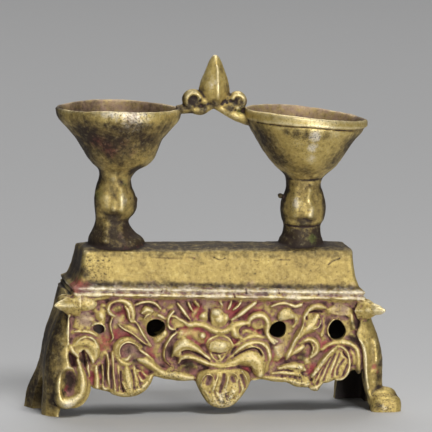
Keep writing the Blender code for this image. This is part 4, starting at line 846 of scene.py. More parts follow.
def lumps(spots, size, seed):  # smooth noise from -1 to 1, laid at a slant so that its cells don't show
    turn = np.array(Matrix.Rotation(0.7 + seed, 3, (0.5, 0.3, 0.8)))
    grid = spots @ turn / size + seed * 7.31
    cell = np.floor(grid).astype(np.int64)
    share = grid - cell
    share = share**3 * (share * (share * 6 - 15) + 10)
    total = np.zeros(len(spots))
    for corner in product((0, 1), repeat=3):
        place = cell + corner
        # a scrambled but repeatable number for each corner of the grid
        mixed = (place[:, 0] * 73856093) ^ (place[:, 1] * 19349663) ^ (place[:, 2] * 83492791) ^ (seed * 2654435)
        mixed = (mixed ^ (mixed >> 13)) * 1274126177 & 0x7FFFFFFF
        value = (mixed ^ (mixed >> 16)) % 65536 / 32768 - 1
        total += value * np.prod(np.where(corner, share, 1 - share), axis=1)
    return total


def nearLine(spots, facing, width, points):  # places within reach of a line, and how near they are
    path = np.array(curve(points))
    low, high = path.min(0) - width, path.max(0) + width
    near = np.where(
        facing & (spots[:, 0] > low[0]) & (spots[:, 0] < high[0]) & (spots[:, 2] > low[1]) & (spots[:, 2] < high[1])
    )[0]
    here = spots[near][:, (0, 2)]
    gap = np.full(len(near), width)
    for start, stop in zip(path, path[1:]):
        along = stop - start
        share = np.clip((here - start) @ along / max(along @ along, 1e-9), 0, 1)
        gap = np.minimum(gap, np.linalg.norm(here - start - share[:, None] * along, axis=1))
    return near, (1 - (gap / width) ** 2) ** 2


def chased(spots, facing):  # how far the swells and cuts move each place back
    moved = np.zeros(len(spots))
    for width, height, points in swells:
        near, nearness = nearLine(spots, facing, width, points)
        moved[near] -= height * nearness
    sunk = np.zeros(len(spots))
    for width, depth, points in cuts:
        near, nearness = nearLine(spots, facing, width, points)
        sunk[near] = np.maximum(sunk[near], depth * nearness)
    return moved + sunk


def finderOf(spots):
    finder = KDTree(len(spots))
    for i, spot in enumerate(spots):
        finder.insert(spot, i)
    finder.balance()
    return finder


def pockHoles(spots, finder):
    moved = np.zeros(len(spots))
    chance = np.random.default_rng(12)
    for middle, reach, count, least, most, depth in pocks:
        gaps = np.linalg.norm(spots - middle, axis=1)
        within = np.where(gaps < reach)[0]
        for i in chance.choice(within, min(count, len(within)), replace=False):
            radius = least + (most - least) * chance.random() ** 2
            for place, near, gap in finder.find_range(spots[i], 1.6 * radius):
                moved[near] = max(moved[near], depth * radius * (1 - (gap / (1.6 * radius)) ** 2) ** 2)
    return moved


def arraysOf(mesh):
    spots = np.empty(len(mesh.vertices) * 3, np.float32)
    mesh.vertices.foreach_get("co", spots)
    normals = np.empty(len(mesh.vertices) * 3, np.float32)
    mesh.vertices.foreach_get("normal", normals)
    return spots.reshape(-1, 3).astype(float), normals.reshape(-1, 3).astype(float)


def relaxed(spots, edges, rounds):
    first, second = edges[:, 0], edges[:, 1]
    count = len(spots)
    links = np.bincount(first, minlength=count) + np.bincount(second, minlength=count)
    for step in range(rounds):
        sums = [
            np.bincount(first, spots[second, k], count) + np.bincount(second, spots[first, k], count)
            for k in range(3)
        ]
        spots = 0.5 * spots + 0.5 * np.stack(sums, 1) / links[:, None]
    return spots


def evaluated(piece):
    shown = piece.evaluated_get(bpy.context.evaluated_depsgraph_get())
    return bpy.data.meshes.new_from_object(shown)


def solidFrom(name, skin):
    mesh = bpy.data.meshes.new(name)
    bmesh.ops.recalc_face_normals(skin, faces=skin.faces)
    skin.to_mesh(mesh)
    skin.free()
    piece = bpy.data.objects.new(name, mesh)
    bpy.context.scene.collection.objects.link(piece)
    return piece


def castSkin():
    skin = bmesh.new()
    tableTop(skin)
    panel(skin, front, frontHem)
    panel(skin, back, [(-x, z) for x, z in reversed(backHem[1:])] + list(backHem))
    for signX in (-1, 1):
        end(skin, signX)
        spur(skin, signX, -1, 8.8)
        spur(skin, signX, 1, 1.6)
    feet(skin)
    cup(skin, leftCup)
    cup(skin, rightCup)
    castingMarks(skin)
    bridge(skin)
    carving(skin)
    backCarving(skin)
    return solidFrom("lampCasting", skin)


def roughen(mesh):  # the mould's lumps and pocks, and the chased lines
    spots, normals = arraysOf(mesh)
    out, y, z = np.abs(spots[:, 0]), spots[:, 1], spots[:, 2]
    shift = sum(height * lumps(spots, size, 3 + k) for k, (size, height) in enumerate(casting["lumps"]))
    onGround = (out < 44) & (z < 34.6) & (y < -12.4) & (normals[:, 1] < -0.5)
    onLedge = (np.abs(z - 36.3) < 1.6) & (np.abs(y) > 14.0)
    onSpur = (out > 41.0) & (np.abs(z - 32.2) < 3.6) & (y < -13.4)
    depth = np.clip((-y - apron["face"]) / 1.6, 0, 1)
    for here, height, coarse, share, fine in (  # coarse and fine each give the lumps' size and seed
        (onGround, casting["groundLump"] * (1 - depth), (2.4, 8), 0.6, (1.1, 9)),
        (onLedge, casting["ledgeLump"], (3.4, 15), 0.7, (1.3, 16)),
        (onSpur, casting["spurLump"], (2.6, 18), 0.6, (1.2, 19)),
    ):
        shift += np.where(here, height * (lumps(spots, *coarse) + share * lumps(spots, *fine)), 0)
    shift -= pockHoles(spots, finderOf(spots))
    spots += normals * shift[:, None]
    spots[:, 1] += chased(spots, (spots[:, 1] < -1.5) & (normals[:, 1] < -0.15))
    mesh.vertices.foreach_set("co", spots.astype(np.float32).ravel())
    mesh.update()


def cutAway(piece, name, skin):
    cutter = solidFrom(name, skin)
    cut = piece.modifiers.new(name, "BOOLEAN")
    cut.operation = "DIFFERENCE"
    cut.object = cutter
    return cutter


def hollow(skin):  # the room under the table, with the block's own slope in its upper part
    foot, edge, wall = block["foot"], block["edge"], block["wall"]
    rings = [box(at(legs["outer"], z) - wall - 0.7, apron["back"], z, 1.2)
             for z in (-9.0, 0.0, 6.0, 11.0, 17.0, 24.0, apron["top"])]
    rings.append(box(foot[1] - wall, foot[2] - wall, foot[0] - 1.0, 1.2))
    rings.append(box(edge[1] - wall - 0.3, edge[2] - wall + 0.1, edge[0] - wall, 1.2))
    loft(skin, rings)


def arch(skin):
    rings = []
    for x in (-70.0, 70.0):
        rings.append([Vector((x, apron["archHalf"] * math.cos(turn), apron["archTop"] * math.sin(turn)))
                      for turn in [math.pi * k / 24 for k in range(25)]]
                     + [Vector((x, -apron["archHalf"], -9.0)), Vector((x, apron["archHalf"], -9.0))])
    loft(skin, rings)


def roundHoles(skin):
    turns = [math.tau * k / 28 for k in range(28)]
    for x, z, halfWidth, halfHeight, depth in apron["holes"]:
        wobble = [1 + 0.06 * math.sin(2 * turn + x) + 0.05 * math.sin(3 * turn + 2 * x) for turn in turns]
        loft(skin, [
            [Vector((x + halfWidth * size * math.cos(turn), y, z + halfHeight * size * math.sin(turn)))
             for size, turn in zip(wobble, turns)]
            for y in (-20.0, depth)
        ])


lamp = castSkin()
fuse = lamp.modifiers.new("fuse", "REMESH")
fuse.mode = "VOXEL"
fuse.voxel_size = casting["voxel"]
soften = lamp.modifiers.new("soften", "SMOOTH")
soften.factor = 0.5
soften.iterations = 3
fused = evaluated(lamp)
lamp.modifiers.clear()
roughen(fused)
print("skin fused:", len(fused.polygons), "faces")

# How far each place stands proud of its surroundings, narrowly and broadly
fineSpots, fineNormals = arraysOf(fused)
fineEdges = np.empty(len(fused.edges) * 2, np.int32)
fused.edges.foreach_get("vertices", fineEdges)
fineEdges = fineEdges.reshape(-1, 2)
near = relaxed(fineSpots, fineEdges, 8)
wide = relaxed(near, fineEdges, 50)
crestFine = ((fineSpots - near) * fineNormals).sum(1)
crestWide = ((fineSpots - wide) * fineNormals).sum(1)
print("crests measured")

lamp.data = fused
thin = lamp.modifiers.new("thin", "DECIMATE")
thin.ratio = casting["keptShare"]
cutters = []
for name, form in (("hollow", hollow), ("holes", roundHoles), ("arches", arch)):
    skin = bmesh.new()
    form(skin)
    cutters.append(cutAway(lamp, name, skin))
ground = bmesh.new()
loft(ground, [box(80.0, 40.0, z) for z in (-20.0, 0.0)])
toUpright = settle.inverted() @ Matrix.Diagonal((mm, mm, mm, 1.0))
bmesh.ops.transform(ground, matrix=toUpright, verts=ground.verts)
cutters.append(cutAway(lamp, "ground", ground))
lamp.data = evaluated(lamp)
lamp.modifiers.clear()
for cutter in cutters:
    bpy.data.objects.remove(cutter, do_unlink=True)
lamp.data.name = "lampCasting"
print("skin cut:", len(lamp.data.polygons), "faces")

# Wear, stains and painted light and shade, as values on the surface
grimeAndShade = {
    "rays": 14,  # how many looks round each place tell how open it is
    "reach": 7.0,  # how far they look, in mm
    "start": 0.06,  # how far off the skin they begin
    "seam": (38.3, 1.1, 0.75),  # height, half width and strength of the dark seam over the ledge
    "bowlFilm": 0.72,  # the dusty film inside the bowls
}
# Spots of each stain, painted shade and painted highlight: x, y, z, radius, strength
stainsAndPaintedLight = {
    "pigment": (  # red, most of it in the carving
        (-43.5, -14.6, 38.8, 4.2, 2.2), (-45.0, -9.0, 38.6, 4.6, 1.8), (-40.0, -14.8, 38.4, 2.6, 1.3),
        (-38.0, -14.6, 37.8, 2.4, 0.6), (-33.5, -13.2, 20.6, 3.0, 1.2), (-30.2, -13.0, 23.4, 2.2, 1.0),
        (-27.0, -13.0, 22.6, 2.4, 0.6), (-28.5, -13.0, 29.2, 3.0, 0.6), (-45.8, -13.6, 5.4, 1.6, 0.8),
        (-44.8, -13.6, 7.4, 1.6, 0.9), (-36.0, -13.0, 10.4, 2.6, 0.9), (-21.8, -13.0, 11.4, 2.4, 0.8),
        (-19.5, -13.0, 17.8, 2.6, 0.7), (-6.5, -13.0, 30.4, 3.0, 1.0), (4.5, -13.0, 31.0, 3.4, 0.8),
        (8.8, -13.0, 29.6, 2.4, 0.6), (-9.0, -13.0, 24.2, 3.4, 1.15), (-6.4, -14.0, 25.2, 2.6, 0.9),
        (-3.6, -14.0, 22.8, 2.2, 0.9), (5.2, -14.0, 21.2, 2.0, 0.6), (-5.5, -13.0, 21.6, 2.6, 0.7),
        (-13.0, -13.0, 27.4, 1.8, 0.8), (11.5, -13.0, 25.0, 2.6, 0.7), (12.0, -13.0, 30.8, 2.6, 0.6),
        (9.0, -13.0, 13.2, 2.2, 0.7), (17.8, -13.0, 17.6, 3.0, 0.6), (28.6, -13.0, 13.8, 2.4, 0.9),
        (32.2, -13.0, 21.0, 2.6, 0.8), (34.6, -13.0, 13.4, 2.2, 0.6), (36.0, -13.0, 21.8, 2.6, 0.5),
        (30.8, -13.6, 10.8, 1.6, 0.9), (47.2, -15.0, 14.8, 1.5, 1.3), (48.8, -14.6, 13.2, 1.7, 1.5),
        (47.6, -15.4, 11.8, 1.5, 1.3), (49.4, -15.0, 10.4, 1.7, 1.5), (47.2, -15.8, 9.6, 1.2, 1.2),
        (-28.0, -6.0, 49.6, 3.6, 0.9), (-24.0, -5.0, 48.8, 3.0, 0.5),
        *((x, -11.2, z, 1.5, 0.62)
          for x, z in ((-17.6, 45.6), (-15.2, 45.9), (-12.8, 46.1), (-9.6, 45.7), (-7.4, 46.2))),
        (-36.6, -9.0, 81.0, 4.6, 0.9), (-33.6, -11.0, 77.4, 4.4, 0.95), (-30.0, -12.0, 80.6, 3.6, 0.7),
        (-27.0, -11.0, 77.6, 3.0, 0.6), (-35.0, -12.0, 84.0, 2.6, 0.6), (-47.8, -6.0, 30.0, 3.6, 0.6),
        (-48.5, 0.0, 22.0, 4.0, 0.4), (-5.0, 3.0, 95.0, 2.4, 0.5),
    ),
    "sootAndShade": (  # lamp black and dirt, and painted shade on sides, undersides, shadowed ends and hollows
        # rims, bridge, curls and bud
        (-47.5, 0.0, 89.0, 8.0, 1.0), (-43.0, -9.0, 88.0, 5.0, 0.6), (-13.0, -3.0, 89.0, 5.0, 0.9),
        (44.0, 2.0, 87.0, 6.0, 0.7), (-9.4, -1.5, 90.4, 2.6, 1.0), (-11.2, -1.0, 92.6, 1.8, 0.8),
        (-7.6, -1.4, 93.9, 1.8, 0.5), (6.8, -1.6, 91.0, 2.4, 0.9), (3.2, -1.8, 89.6, 2.2, 0.9),
        (-4.8, -1.8, 89.4, 2.2, 1.0), (-13.0, -1.0, 87.6, 3.0, 0.9), (-8.6, -1.4, 87.6, 2.2, 0.8),
        (11.0, -2.4, 84.8, 3.0, 0.8), (2.6, -1.6, 95.6, 2.0, 0.8), (-5.6, -1.0, 95.0, 1.8, 0.7),
        (0.6, -1.4, 101.0, 1.6, 0.6), (-7.6, -1.6, 91.6, 2.6, 1.1), (5.0, -1.6, 91.6, 2.0, 1.0),
        (-1.6, -2.6, 90.4, 2.6, 1.1), (-11.0, -1.6, 91.4, 1.6, 0.7), (1.8, -2.8, 97.4, 1.5, 0.6),
        (-4.4, -2.0, 98.6, 1.6, 0.6), (-5.0, -1.4, 87.6, 2.4, 0.8), (9.0, -2.0, 84.8, 3.0, 0.8),
        # top of the block: patina, and painted shade for the dark that it reflects
        *((x, y, 50.6, 8.0, 0.98) for x in range(-40, 41, 3) for y in (-5.0, 0.0, 5.0)),
        # ends of the block, walls and legs at both ends: painted shade on the shadowed ends and down the legs' sides,
        # with dirt
        (-41.0, -4.0, 44.0, 8.0, 1.2), (-42.0, 4.0, 42.0, 9.0, 1.2), (-40.6, -11.4, 41.0, 3.0, 0.9),
        (41.6, 0.0, 43.0, 8.0, 1.0), (-47.0, -9.0, 31.0, 6.0, 1.0), (-49.4, -7.0, 24.0, 8.0, 1.0),
        (-50.6, -7.0, 15.0, 8.0, 1.0), (-51.0, -6.0, 6.0, 8.0, 0.9), (-50.0, 4.0, 20.0, 14.0, 0.9),
        (50.0, 0.0, 20.0, 16.0, 0.7), *((-46.8, -14.0, z, 3.0, 0.8) for z in (12, 16, 20, 24, 28)),
        *((-48.4, -12.0, z, 5.0, 0.95) for z in range(4, 33, 4)), (-50.0, 8.0, 4.0, 8.0, 0.9),
        (-53.0, -4.0, 4.0, 8.0, 0.8), (-43.6, -13.0, 9.6, 3.8, 1.1), (-44.4, 8.0, 35.0, 7.0, 1.2),
        (-45.6, -10.0, 36.0, 3.4, 0.9), *((49.4, -13.0, z, 3.0, 0.85) for z in range(12, 25, 4)),
        *((46.2, -16.4, z, 1.7, 0.8) for z in range(11, 18, 2)), (48.6, -15.0, 9.6, 2.4, 0.8),
        (53.6, -13.6, 6.0, 3.0, 0.7), (48.4, -16.6, 3.6, 1.8, 0.7),
        # left cup: soot over the bowl and inside it, painted shade at both ends of the bowl, and a dark band under
        # the lip
        (-36.0, 9.0, 87.0, 9.0, 0.7), (-22.0, 7.0, 88.0, 9.0, 0.62),
        *((x, -15.6, 85.0, 2.4, 0.9) for x in (-38.5, -36, -33, -30)), (-25.0, -16.0, 85.0, 2.2, 1.0),
        (-22.0, -15.0, 84.8, 2.4, 0.8), (-18.6, -13.0, 84.6, 2.6, 0.8), (-31.0, -12.6, 81.6, 3.0, 1.2),
        (-32.0, -11.0, 80.0, 12.0, 0.92), (-38.0, -8.0, 84.0, 10.0, 1.1), (-29.0, -14.5, 85.2, 5.0, 0.8),
        (-26.0, -14.0, 83.0, 6.0, 0.9), (-22.0, -11.0, 80.0, 7.0, 0.8), (-30.5, -9.0, 75.0, 5.0, 0.8),
        (-38.0, 0.0, 79.0, 12.0, 1.1), (-18.0, 0.0, 80.0, 9.0, 0.9), (-24.6, -5.0, 71.2, 3.6, 1.3),
        (-18.0, -9.0, 85.0, 5.0, 0.8),
        # left stem: dark mottling, with painted shade at its sides
        (-23.6, -1.0, 61.0, 5.0, 1.2), (-37.4, -1.0, 61.0, 5.4, 1.2), (-35.4, 0.0, 68.6, 4.0, 1.0),
        (-25.0, 0.0, 68.0, 3.6, 0.9), (-31.0, -5.0, 57.0, 4.4, 1.0), (-24.6, -4.0, 52.0, 6.4, 1.6),
        (-37.4, -2.0, 51.0, 6.4, 1.5), (-30.0, -7.0, 49.4, 4.0, 0.9), (-31.8, -6.0, 65.4, 1.5, 0.9),
        (-31.0, -6.0, 63.8, 1.3, 0.9),
        # right cup: a painted shadow under the rim, and painted shade at both sides and the foot of the bowl
        *((x, -15.4, 84.9 - 0.05 * x, 2.3, 0.85) for x in (18, 21, 24)), (30.0, -15.0, 83.6, 2.2, 0.6),
        (13.6, -6.0, 82.0, 7.0, 1.0), (17.0, -7.0, 76.0, 6.0, 0.9), (38.6, -6.0, 81.0, 7.0, 0.95),
        (34.0, -7.0, 76.0, 5.6, 0.75), (25.0, -7.0, 72.6, 4.6, 0.6), (14.0, 3.0, 80.0, 9.0, 0.9),
        (39.0, 3.0, 80.0, 9.0, 0.9),
        # right stem: dark mottling, with painted shade at its sides
        (19.4, -0.6, 61.6, 4.6, 1.1), (33.4, -0.6, 61.6, 4.6, 1.25), (20.6, 0.0, 68.6, 3.6, 0.9),
        (32.0, 0.0, 68.6, 3.8, 1.0), (26.0, -6.0, 56.0, 3.8, 1.0), (23.0, -6.0, 51.4, 5.0, 1.5),
        (31.0, -4.0, 51.4, 5.6, 1.6), (19.6, -2.0, 51.6, 4.8, 1.6), (18.8, -1.5, 63.8, 2.6, 2.4),
        # both stems: painted shade at their sides, and dark patches over their fronts
        *((sign * 5.6 + x, -1.0, z, 3.2, 1.3) for x, sign in ((-30.6, -1), (-30.6, 1), (26.4, -1), (26.4, 1))
          for z in (53.0, 58.0, 62.0, 66.0, 70.0)),
        *((x, -2.0, z, 8.0, 0.5) for x in (-30.6, 26.4) for z in (60.0, 66.0, 72.0)),
        # painted shade in the hollows of the carving, such as under the lip, with dirt
        (-8.2, -13.2, 14.6, 3.0, 1.0), (41.6, -13.0, 27.4, 2.6, 1.0), (42.4, -13.0, 12.0, 3.2, 1.0),
        (40.6, -13.0, 22.8, 2.4, 1.0), (-26.6, -13.0, 18.6, 2.2, 0.8), (-24.0, -13.0, 15.8, 2.2, 0.8),
        (-13.6, -13.0, 18.4, 2.4, 0.8), (25.4, -13.0, 17.4, 2.4, 0.8), (-39.2, -13.0, 15.6, 2.0, 0.9),
        (-43.4, -13.0, 15.4, 2.0, 0.9), (-29.8, -13.0, 30.2, 2.0, 0.6),
    ),
    "rubSpotsAndHighlights": (  # rubbed places, and painted highlights on the right bowl and on the stems' facets
        (48.0, -16.0, 32.0, 5.0, 0.7), (46.4, -15.4, 20.0, 5.0, 0.6), (51.0, -16.0, 7.6, 3.0, 0.5),
        (-43.6, -16.4, 2.6, 3.0, 1.1), (-44.2, -15.4, 24.0, 3.0, 0.9), (-46.8, -16.0, 32.4, 3.0, 0.9),
        # painted highlight: the bright band down the middle of the right bowl, here and at the start of the next line
        (26.4, -17.4, 87.0, 12.0, 0.9), (26.6, -15.4, 83.4, 2.6, 1.9), (26.4, -13.4, 80.0, 2.6, 1.9),
        (26.6, -11.4, 76.6, 2.6, 1.3), (30.0, -11.0, 77.0, 6.0, 0.6),
        *((x, -16.8, 89.0, 3.0, 1.5) for x in range(-39, -20, 3)), (-24.0, -11.0, 76.0, 5.0, 0.6),
        # painted highlights on the facets of both stems, here and at the start of the next line
        (-28.0, -6.0, 62.2, 2.6, 1.1), (-32.6, -5.6, 61.6, 2.2, 0.9), (-31.0, -5.6, 67.8, 2.6, 0.8),
        (23.4, -6.0, 62.4, 2.8, 1.1), (27.8, -6.0, 59.6, 2.4, 0.9), (-2.4, -2.6, 98.4, 4.0, 0.9),
        (0.6, -15.4, 20.2, 3.0, 0.8), (-0.4, -15.0, 30.0, 2.6, 0.8), (2.6, -16.4, 6.6, 5.0, 0.6),
        (-10.4, -15.0, 20.8, 2.6, 0.7), (10.8, -15.2, 16.8, 4.0, 0.5), (-26.0, -15.0, 9.4, 3.0, 0.6),
        (23.0, -15.0, 14.4, 2.8, 0.5), (28.0, -15.2, 27.2, 2.8, 0.5),
        *((x, -16.0, 36.4, 3.6, 1.2) for x in range(-43, 44, 3)),
    ),
    "speckle": (  # grit in the casting
        (50.5, -15.0, 4.0, 6.0, 1.0), (2.6, -16.4, 4.2, 5.0, 1.0), (-28.0, -17.4, 87.0, 9.0, 1.0),
        (26.0, -15.6, 83.6, 8.0, 0.9), (29.0, -12.0, 88.0, 8.0, 0.8), (-37.5, -12.6, 43.0, 5.0, 1.0),
        (46.5, -15.4, 31.6, 4.0, 0.8), (25.0, -14.0, 10.4, 5.0, 0.9), (31.0, -14.0, 9.0, 3.0, 0.9),
        (-24.0, -14.0, 6.6, 5.0, 0.8), (7.0, -1.6, 90.0, 2.4, 1.0), (-27.0, -12.0, 79.0, 6.0, 0.6),
        (-13.0, -14.0, 11.6, 4.0, 0.7), (-43.0, -15.0, 32.6, 4.0, 0.6), (24.0, -5.6, 62.0, 4.0, 0.7),
        (46.0, -15.0, 22.0, 5.0, 0.4), (24.0, -10.0, 74.0, 4.0, 0.3), (30.0, -5.0, 68.0, 3.0, 0.7),
    ),
    "tarnish": (  # duller skin
        (51.0, -15.4, 4.0, 7.0, 1.1), (47.0, -15.0, 20.0, 8.0, 0.6), (-52.0, 6.0, 5.0, 10.0, 1.2),
        (-49.0, 0.0, 18.0, 16.0, 1.0), (51.0, 6.0, 10.0, 12.0, 0.9),
        *((x, -12.0, 43.0, 12.0, 0.45) for x in (-34, -20, -6, 8, 22, 34)), (-30.0, -10.0, 80.0, 16.0, 0.7),
        (26.0, -12.0, 76.0, 9.0, 0.4), (46.0, -14.0, 20.0, 12.0, 0.3),
    ),
    "lilac": (  # dusty film
        (-30.0, 4.0, 86.0, 15.0, 1.0), (-20.0, 2.0, 88.0, 8.0, 1.2), (28.0, 6.0, 86.0, 13.0, 0.7),
        (-28.4, -6.0, 50.6, 3.0, 0.9), (-39.6, -13.6, 27.6, 3.6, 1.0), (36.6, -13.6, 31.4, 4.0, 0.7),
        (-28.0, -17.0, 88.0, 3.0, 0.8), *((x, -15.0, 36.4, 5.0, 0.55) for x in range(-40, 41, 10)),
        (-3.0, -13.0, 32.6, 3.4, 0.7), (-30.0, -13.4, 27.0, 3.0, 0.7), (18.6, -13.0, 20.0, 4.0, 0.7),
        (-25.0, -13.4, 18.0, 3.4, 0.7),
    ),
    "chalkAndGlint": (  # pale wear on rims and edges, and a painted highlight down the middle of the right bowl
        *((x, -16.6, 88.8, 2.2, 0.66) for x in range(-38, -20, 2)),
        # the last spot here and the first two on the next line paint a highlight down the right bowl
        *((x, -16.0, 37.2, 3.2, 0.72) for x in range(-43, 44, 2)), (26.6, -15.4, 83.4, 2.4, 1.1),
        (26.4, -13.4, 80.0, 2.2, 0.95), (26.6, -11.4, 76.6, 1.8, 0.7), (-27.0, -17.0, 88.0, 7.0, 0.62),
        (48.0, -16.0, 32.4, 3.6, 0.5), (-43.6, -16.4, 2.4, 2.4, 0.8), (-28.2, -6.0, 62.4, 2.0, 0.6),
        (23.2, -6.4, 62.6, 2.2, 0.7), (27.8, -6.4, 59.8, 1.6, 0.6), (50.4, -16.0, 2.6, 3.0, 0.4),
        (-2.6, -3.0, 96.6, 2.2, 0.5), (2.6, -16.0, 4.6, 4.0, 0.45),
    ),
    "green": (  # verdigris
        (28.6, -6.0, 51.6, 2.2, 0.75), (-35.6, -3.6, 64.0, 2.6, 0.6), (44.0, -13.0, 29.0, 2.2, 0.6),
        (-27.4, -5.2, 67.4, 2.0, 0.5), (6.0, -1.8, 88.6, 2.0, 0.5),
    ),
}


# how open each place is; less open places are painted darker, as dirt and as shade
def openness(mesh, spots, normals):
    tree = BVHTree.FromPolygons([tuple(spot) for spot in spots], [tuple(face.vertices) for face in mesh.polygons])
    looks = []
    for k in range(grimeAndShade["rays"]):
        rise = math.sqrt((k + 0.5) / grimeAndShade["rays"])
        turn = 2.39996 * k  # the golden angle spreads them evenly
        looks.append((math.cos(turn) * math.sqrt(1 - rise * rise), math.sin(turn) * math.sqrt(1 - rise * rise), rise))
    reach = grimeAndShade["reach"]
    found = np.empty(len(spots))
    for i, (spot, normal) in enumerate(zip(spots, normals)):
        up = Vector(normal)
        side = up.orthogonal().normalized()
        over = up.cross(side)
        start = Vector(spot) + up * grimeAndShade["start"]
        free = 0.0
        for across, along, rise in looks:
            hit = tree.ray_cast(start, side * across + over * along + up * rise, reach)[3]
            free += 1.0 if hit is None else hit / reach
        found[i] = free / grimeAndShade["rays"]
    return found


def keep(mesh, name, values):
    layer = mesh.attributes.new(name, "FLOAT", "POINT")
    layer.data.foreach_set("value", values.astype(np.float32))


def spotStrength(places, spots):  # how strong a list of spots is at each place: stains, painted shade and painted highlights
    strength = np.zeros(len(spots))
    for x, y, z, radius, most in places:
        gap = np.linalg.norm(spots - (x, y, z), axis=1) / radius
        strength = np.maximum(strength, most * np.clip(1 - gap * gap, 0, 1))
    return strength


def inBowls(spots, normals):
    x, y, z = spots.T
    found = np.zeros(len(spots), bool)
    for sizes in (leftCup, rightCup):
        across = x - sizes["rim"][1]
        found |= (np.hypot(across, y) < 18.4) & (across * normals[:, 0] + y * normals[:, 1] < 0) & (z > 72.0)
    return found


mesh = lamp.data
spots, normals = arraysOf(mesh)
finder = finderOf(fineSpots)
nearest = np.array([finder.find(spot)[1] for spot in spots])
keep(mesh, "crestFine", crestFine[nearest])
keep(mesh, "crestWide", crestWide[nearest])
keep(mesh, "openness", openness(mesh, spots, normals))
out, away, z = np.abs(spots[:, 0]), np.abs(spots[:, 1]), spots[:, 2]
for name, places in stainsAndPaintedLight.items():
    strength = spotStrength(places, spots)
    if name == "sootAndShade":
        height, halfWidth, most = grimeAndShade["seam"]
        strength = np.maximum(strength, most * np.where(away > 12.6, 1 - ((z - height) / halfWidth) ** 2, 0))
    if name == "lilac":
        strength = np.where(inBowls(spots, normals), grimeAndShade["bowlFilm"], strength)
    keep(mesh, name, strength)
onField = (out < 44.5) & (z < 34.6) & (away > 12.0)
onLedge = (z > 34.0) & (z < 37.9) & (away > 13.6)
keep(mesh, "field", (onField | onLedge).astype(float))
# painted shade: the faces inside the table, seen through the holes and arches, are coloured near black
inside = (away < apron["back"] + 0.1) & (z < 45.0) & ((z < 36.5) | (out < 38.0))
inside &= out < np.interp(z, *zip(*legs["outer"][::-1])) - 2.4
keep(mesh, "inside", inside.astype(float))
print("wear measured:", len(spots), "places")

mesh.transform(settle)
mesh.polygons.foreach_set("use_smooth", np.ones(len(mesh.polygons), bool))
mesh.set_sharp_from_angle(angle=math.radians(casting["sharpAngle"]))
mesh.update()


# The brass, what lies on it, and painted light and shade
brass = {
    "deep": (0.058, 0.028, 0.026),  # floor of the deepest recesses
    "hollow": (0.250, 0.134, 0.106),  # purple-brown of the field
    "dull": (0.200, 0.132, 0.042),  # brown olive of untouched skin
    "gold": (0.500, 0.375, 0.120),  # olive gold of the high places
    "rubbedAndHighlit": (0.760, 0.650, 0.380),  # cream gold where hands have rubbed it, also painted on crests as highlight
    # near black of soot, also used for painted shade
    "sootAndShade": (0.021, 0.012, 0.008),
    "pigment": (0.260, 0.036, 0.044),
    "rose": (0.300, 0.095, 0.085),  # the field where pigment lies near
    "lilac": (0.330, 0.215, 0.180),  # dusty pink-brown
    "chalkAndGlint": (0.780, 0.710, 0.590),
    "green": (0.120, 0.160, 0.030),
    "speck": (0.025, 0.016, 0.010),
    "bump": 0.13,  # mm
    # what each measure adds to the skin's wear and painted light and shade
    "worn": {
        "crestFine": 2.6,
        "crestWide": 0.5,
        "openness": 0.75,
        "rubSpotsAndHighlights": 0.25,
        "tarnish": -0.16,
        "sootAndShade": -0.2,
        "cloud": 0.5,
    },
    # a patch's fineness per metre, threshold, break up, softness and strength
    "patches": {
        "deep": (500.0, -0.28, 0.6, 0.5, 1.0),
        "dull": (1100.0, 0.24, 0.7, 0.3, 1.0),
        "gold": (900.0, 0.42, 0.8, 0.55, 1.0),
        "rubbedAndHighlit": (1300.0, 0.94, 0.8, 0.5, 1.0),
        "lilac": (500.0, 0.58, 1.8, 0.6, 0.75),
        "chalkAndGlint": (800.0, 0.58, 1.8, 0.6, 0.8),
        "pigment": (900.0, 0.62, 2.2, 0.7, 0.8),
        "sootAndShade": (620.0, 0.52, 1.6, 0.85, 0.94),
        "green": (900.0, 0.5, 1.8, 0.6, 0.5),
        "creaseDirtAndShade": (800.0, 0.58, 0.9, 0.4, 0.7),
        "metal": (1000.0, 0.36, 0.8, 0.5, 1.0),
    },
}


def link(tree, start, stop):
    tree.links.new(start, stop)


def node(tree, kind, **settings):
    made = tree.nodes.new(kind)
    for name, setting in settings.items():
        made.inputs[name].default_value = setting
    return made


def value(tree, name):  # one of the values kept on the surface
    made = tree.nodes.new("ShaderNodeAttribute")
    made.attribute_name = name
    return made.outputs["Fac"]


def maths(tree, operation, *parts, clamp=False):
    made = tree.nodes.new("ShaderNodeMath")
    made.operation = operation
    made.use_clamp = clamp
    for socket, part in zip(made.inputs, parts):
        if isinstance(part, (int, float)):
            socket.default_value = part
        else:
            link(tree, part, socket)
    return made.outputs[0]


def times(tree, first, second, clamp=False):
    return maths(tree, "MULTIPLY", first, second, clamp=clamp)


def less(tree, first, second, clamp=False):
    return maths(tree, "SUBTRACT", first, second, clamp=clamp)


def scaled(tree, part, scale, added, clamp=False):  # part times scale, with something added
    return maths(tree, "MULTIPLY_ADD", part, scale, added, clamp=clamp)


def blend(tree, share, first, second):
    made = tree.nodes.new("ShaderNodeMix")
    made.data_type = "RGBA"
    link(tree, share, made.inputs["Factor"])
    colours = [socket for socket in made.inputs if socket.type == "RGBA"]
    for socket, part in zip(colours, (first, second)):
        if isinstance(part, tuple):
            socket.default_value = (*part, 1.0)
        else:
            link(tree, part, socket)
    return [socket for socket in made.outputs if socket.type == "RGBA"][0]


def noiseOf(tree, place, perMetre, detail=4.0, roughness=0.6, stretch=None):
    spots = place.outputs["Object"]
    if stretch:
        mapping = node(tree, "ShaderNodeMapping", Scale=stretch)
        link(tree, spots, mapping.inputs["Vector"])
        spots = mapping.outputs["Vector"]
    made = node(tree, "ShaderNodeTexNoise", Scale=perMetre, Detail=detail, Roughness=roughness)
    link(tree, spots, made.inputs["Vector"])
    return made.outputs[0]


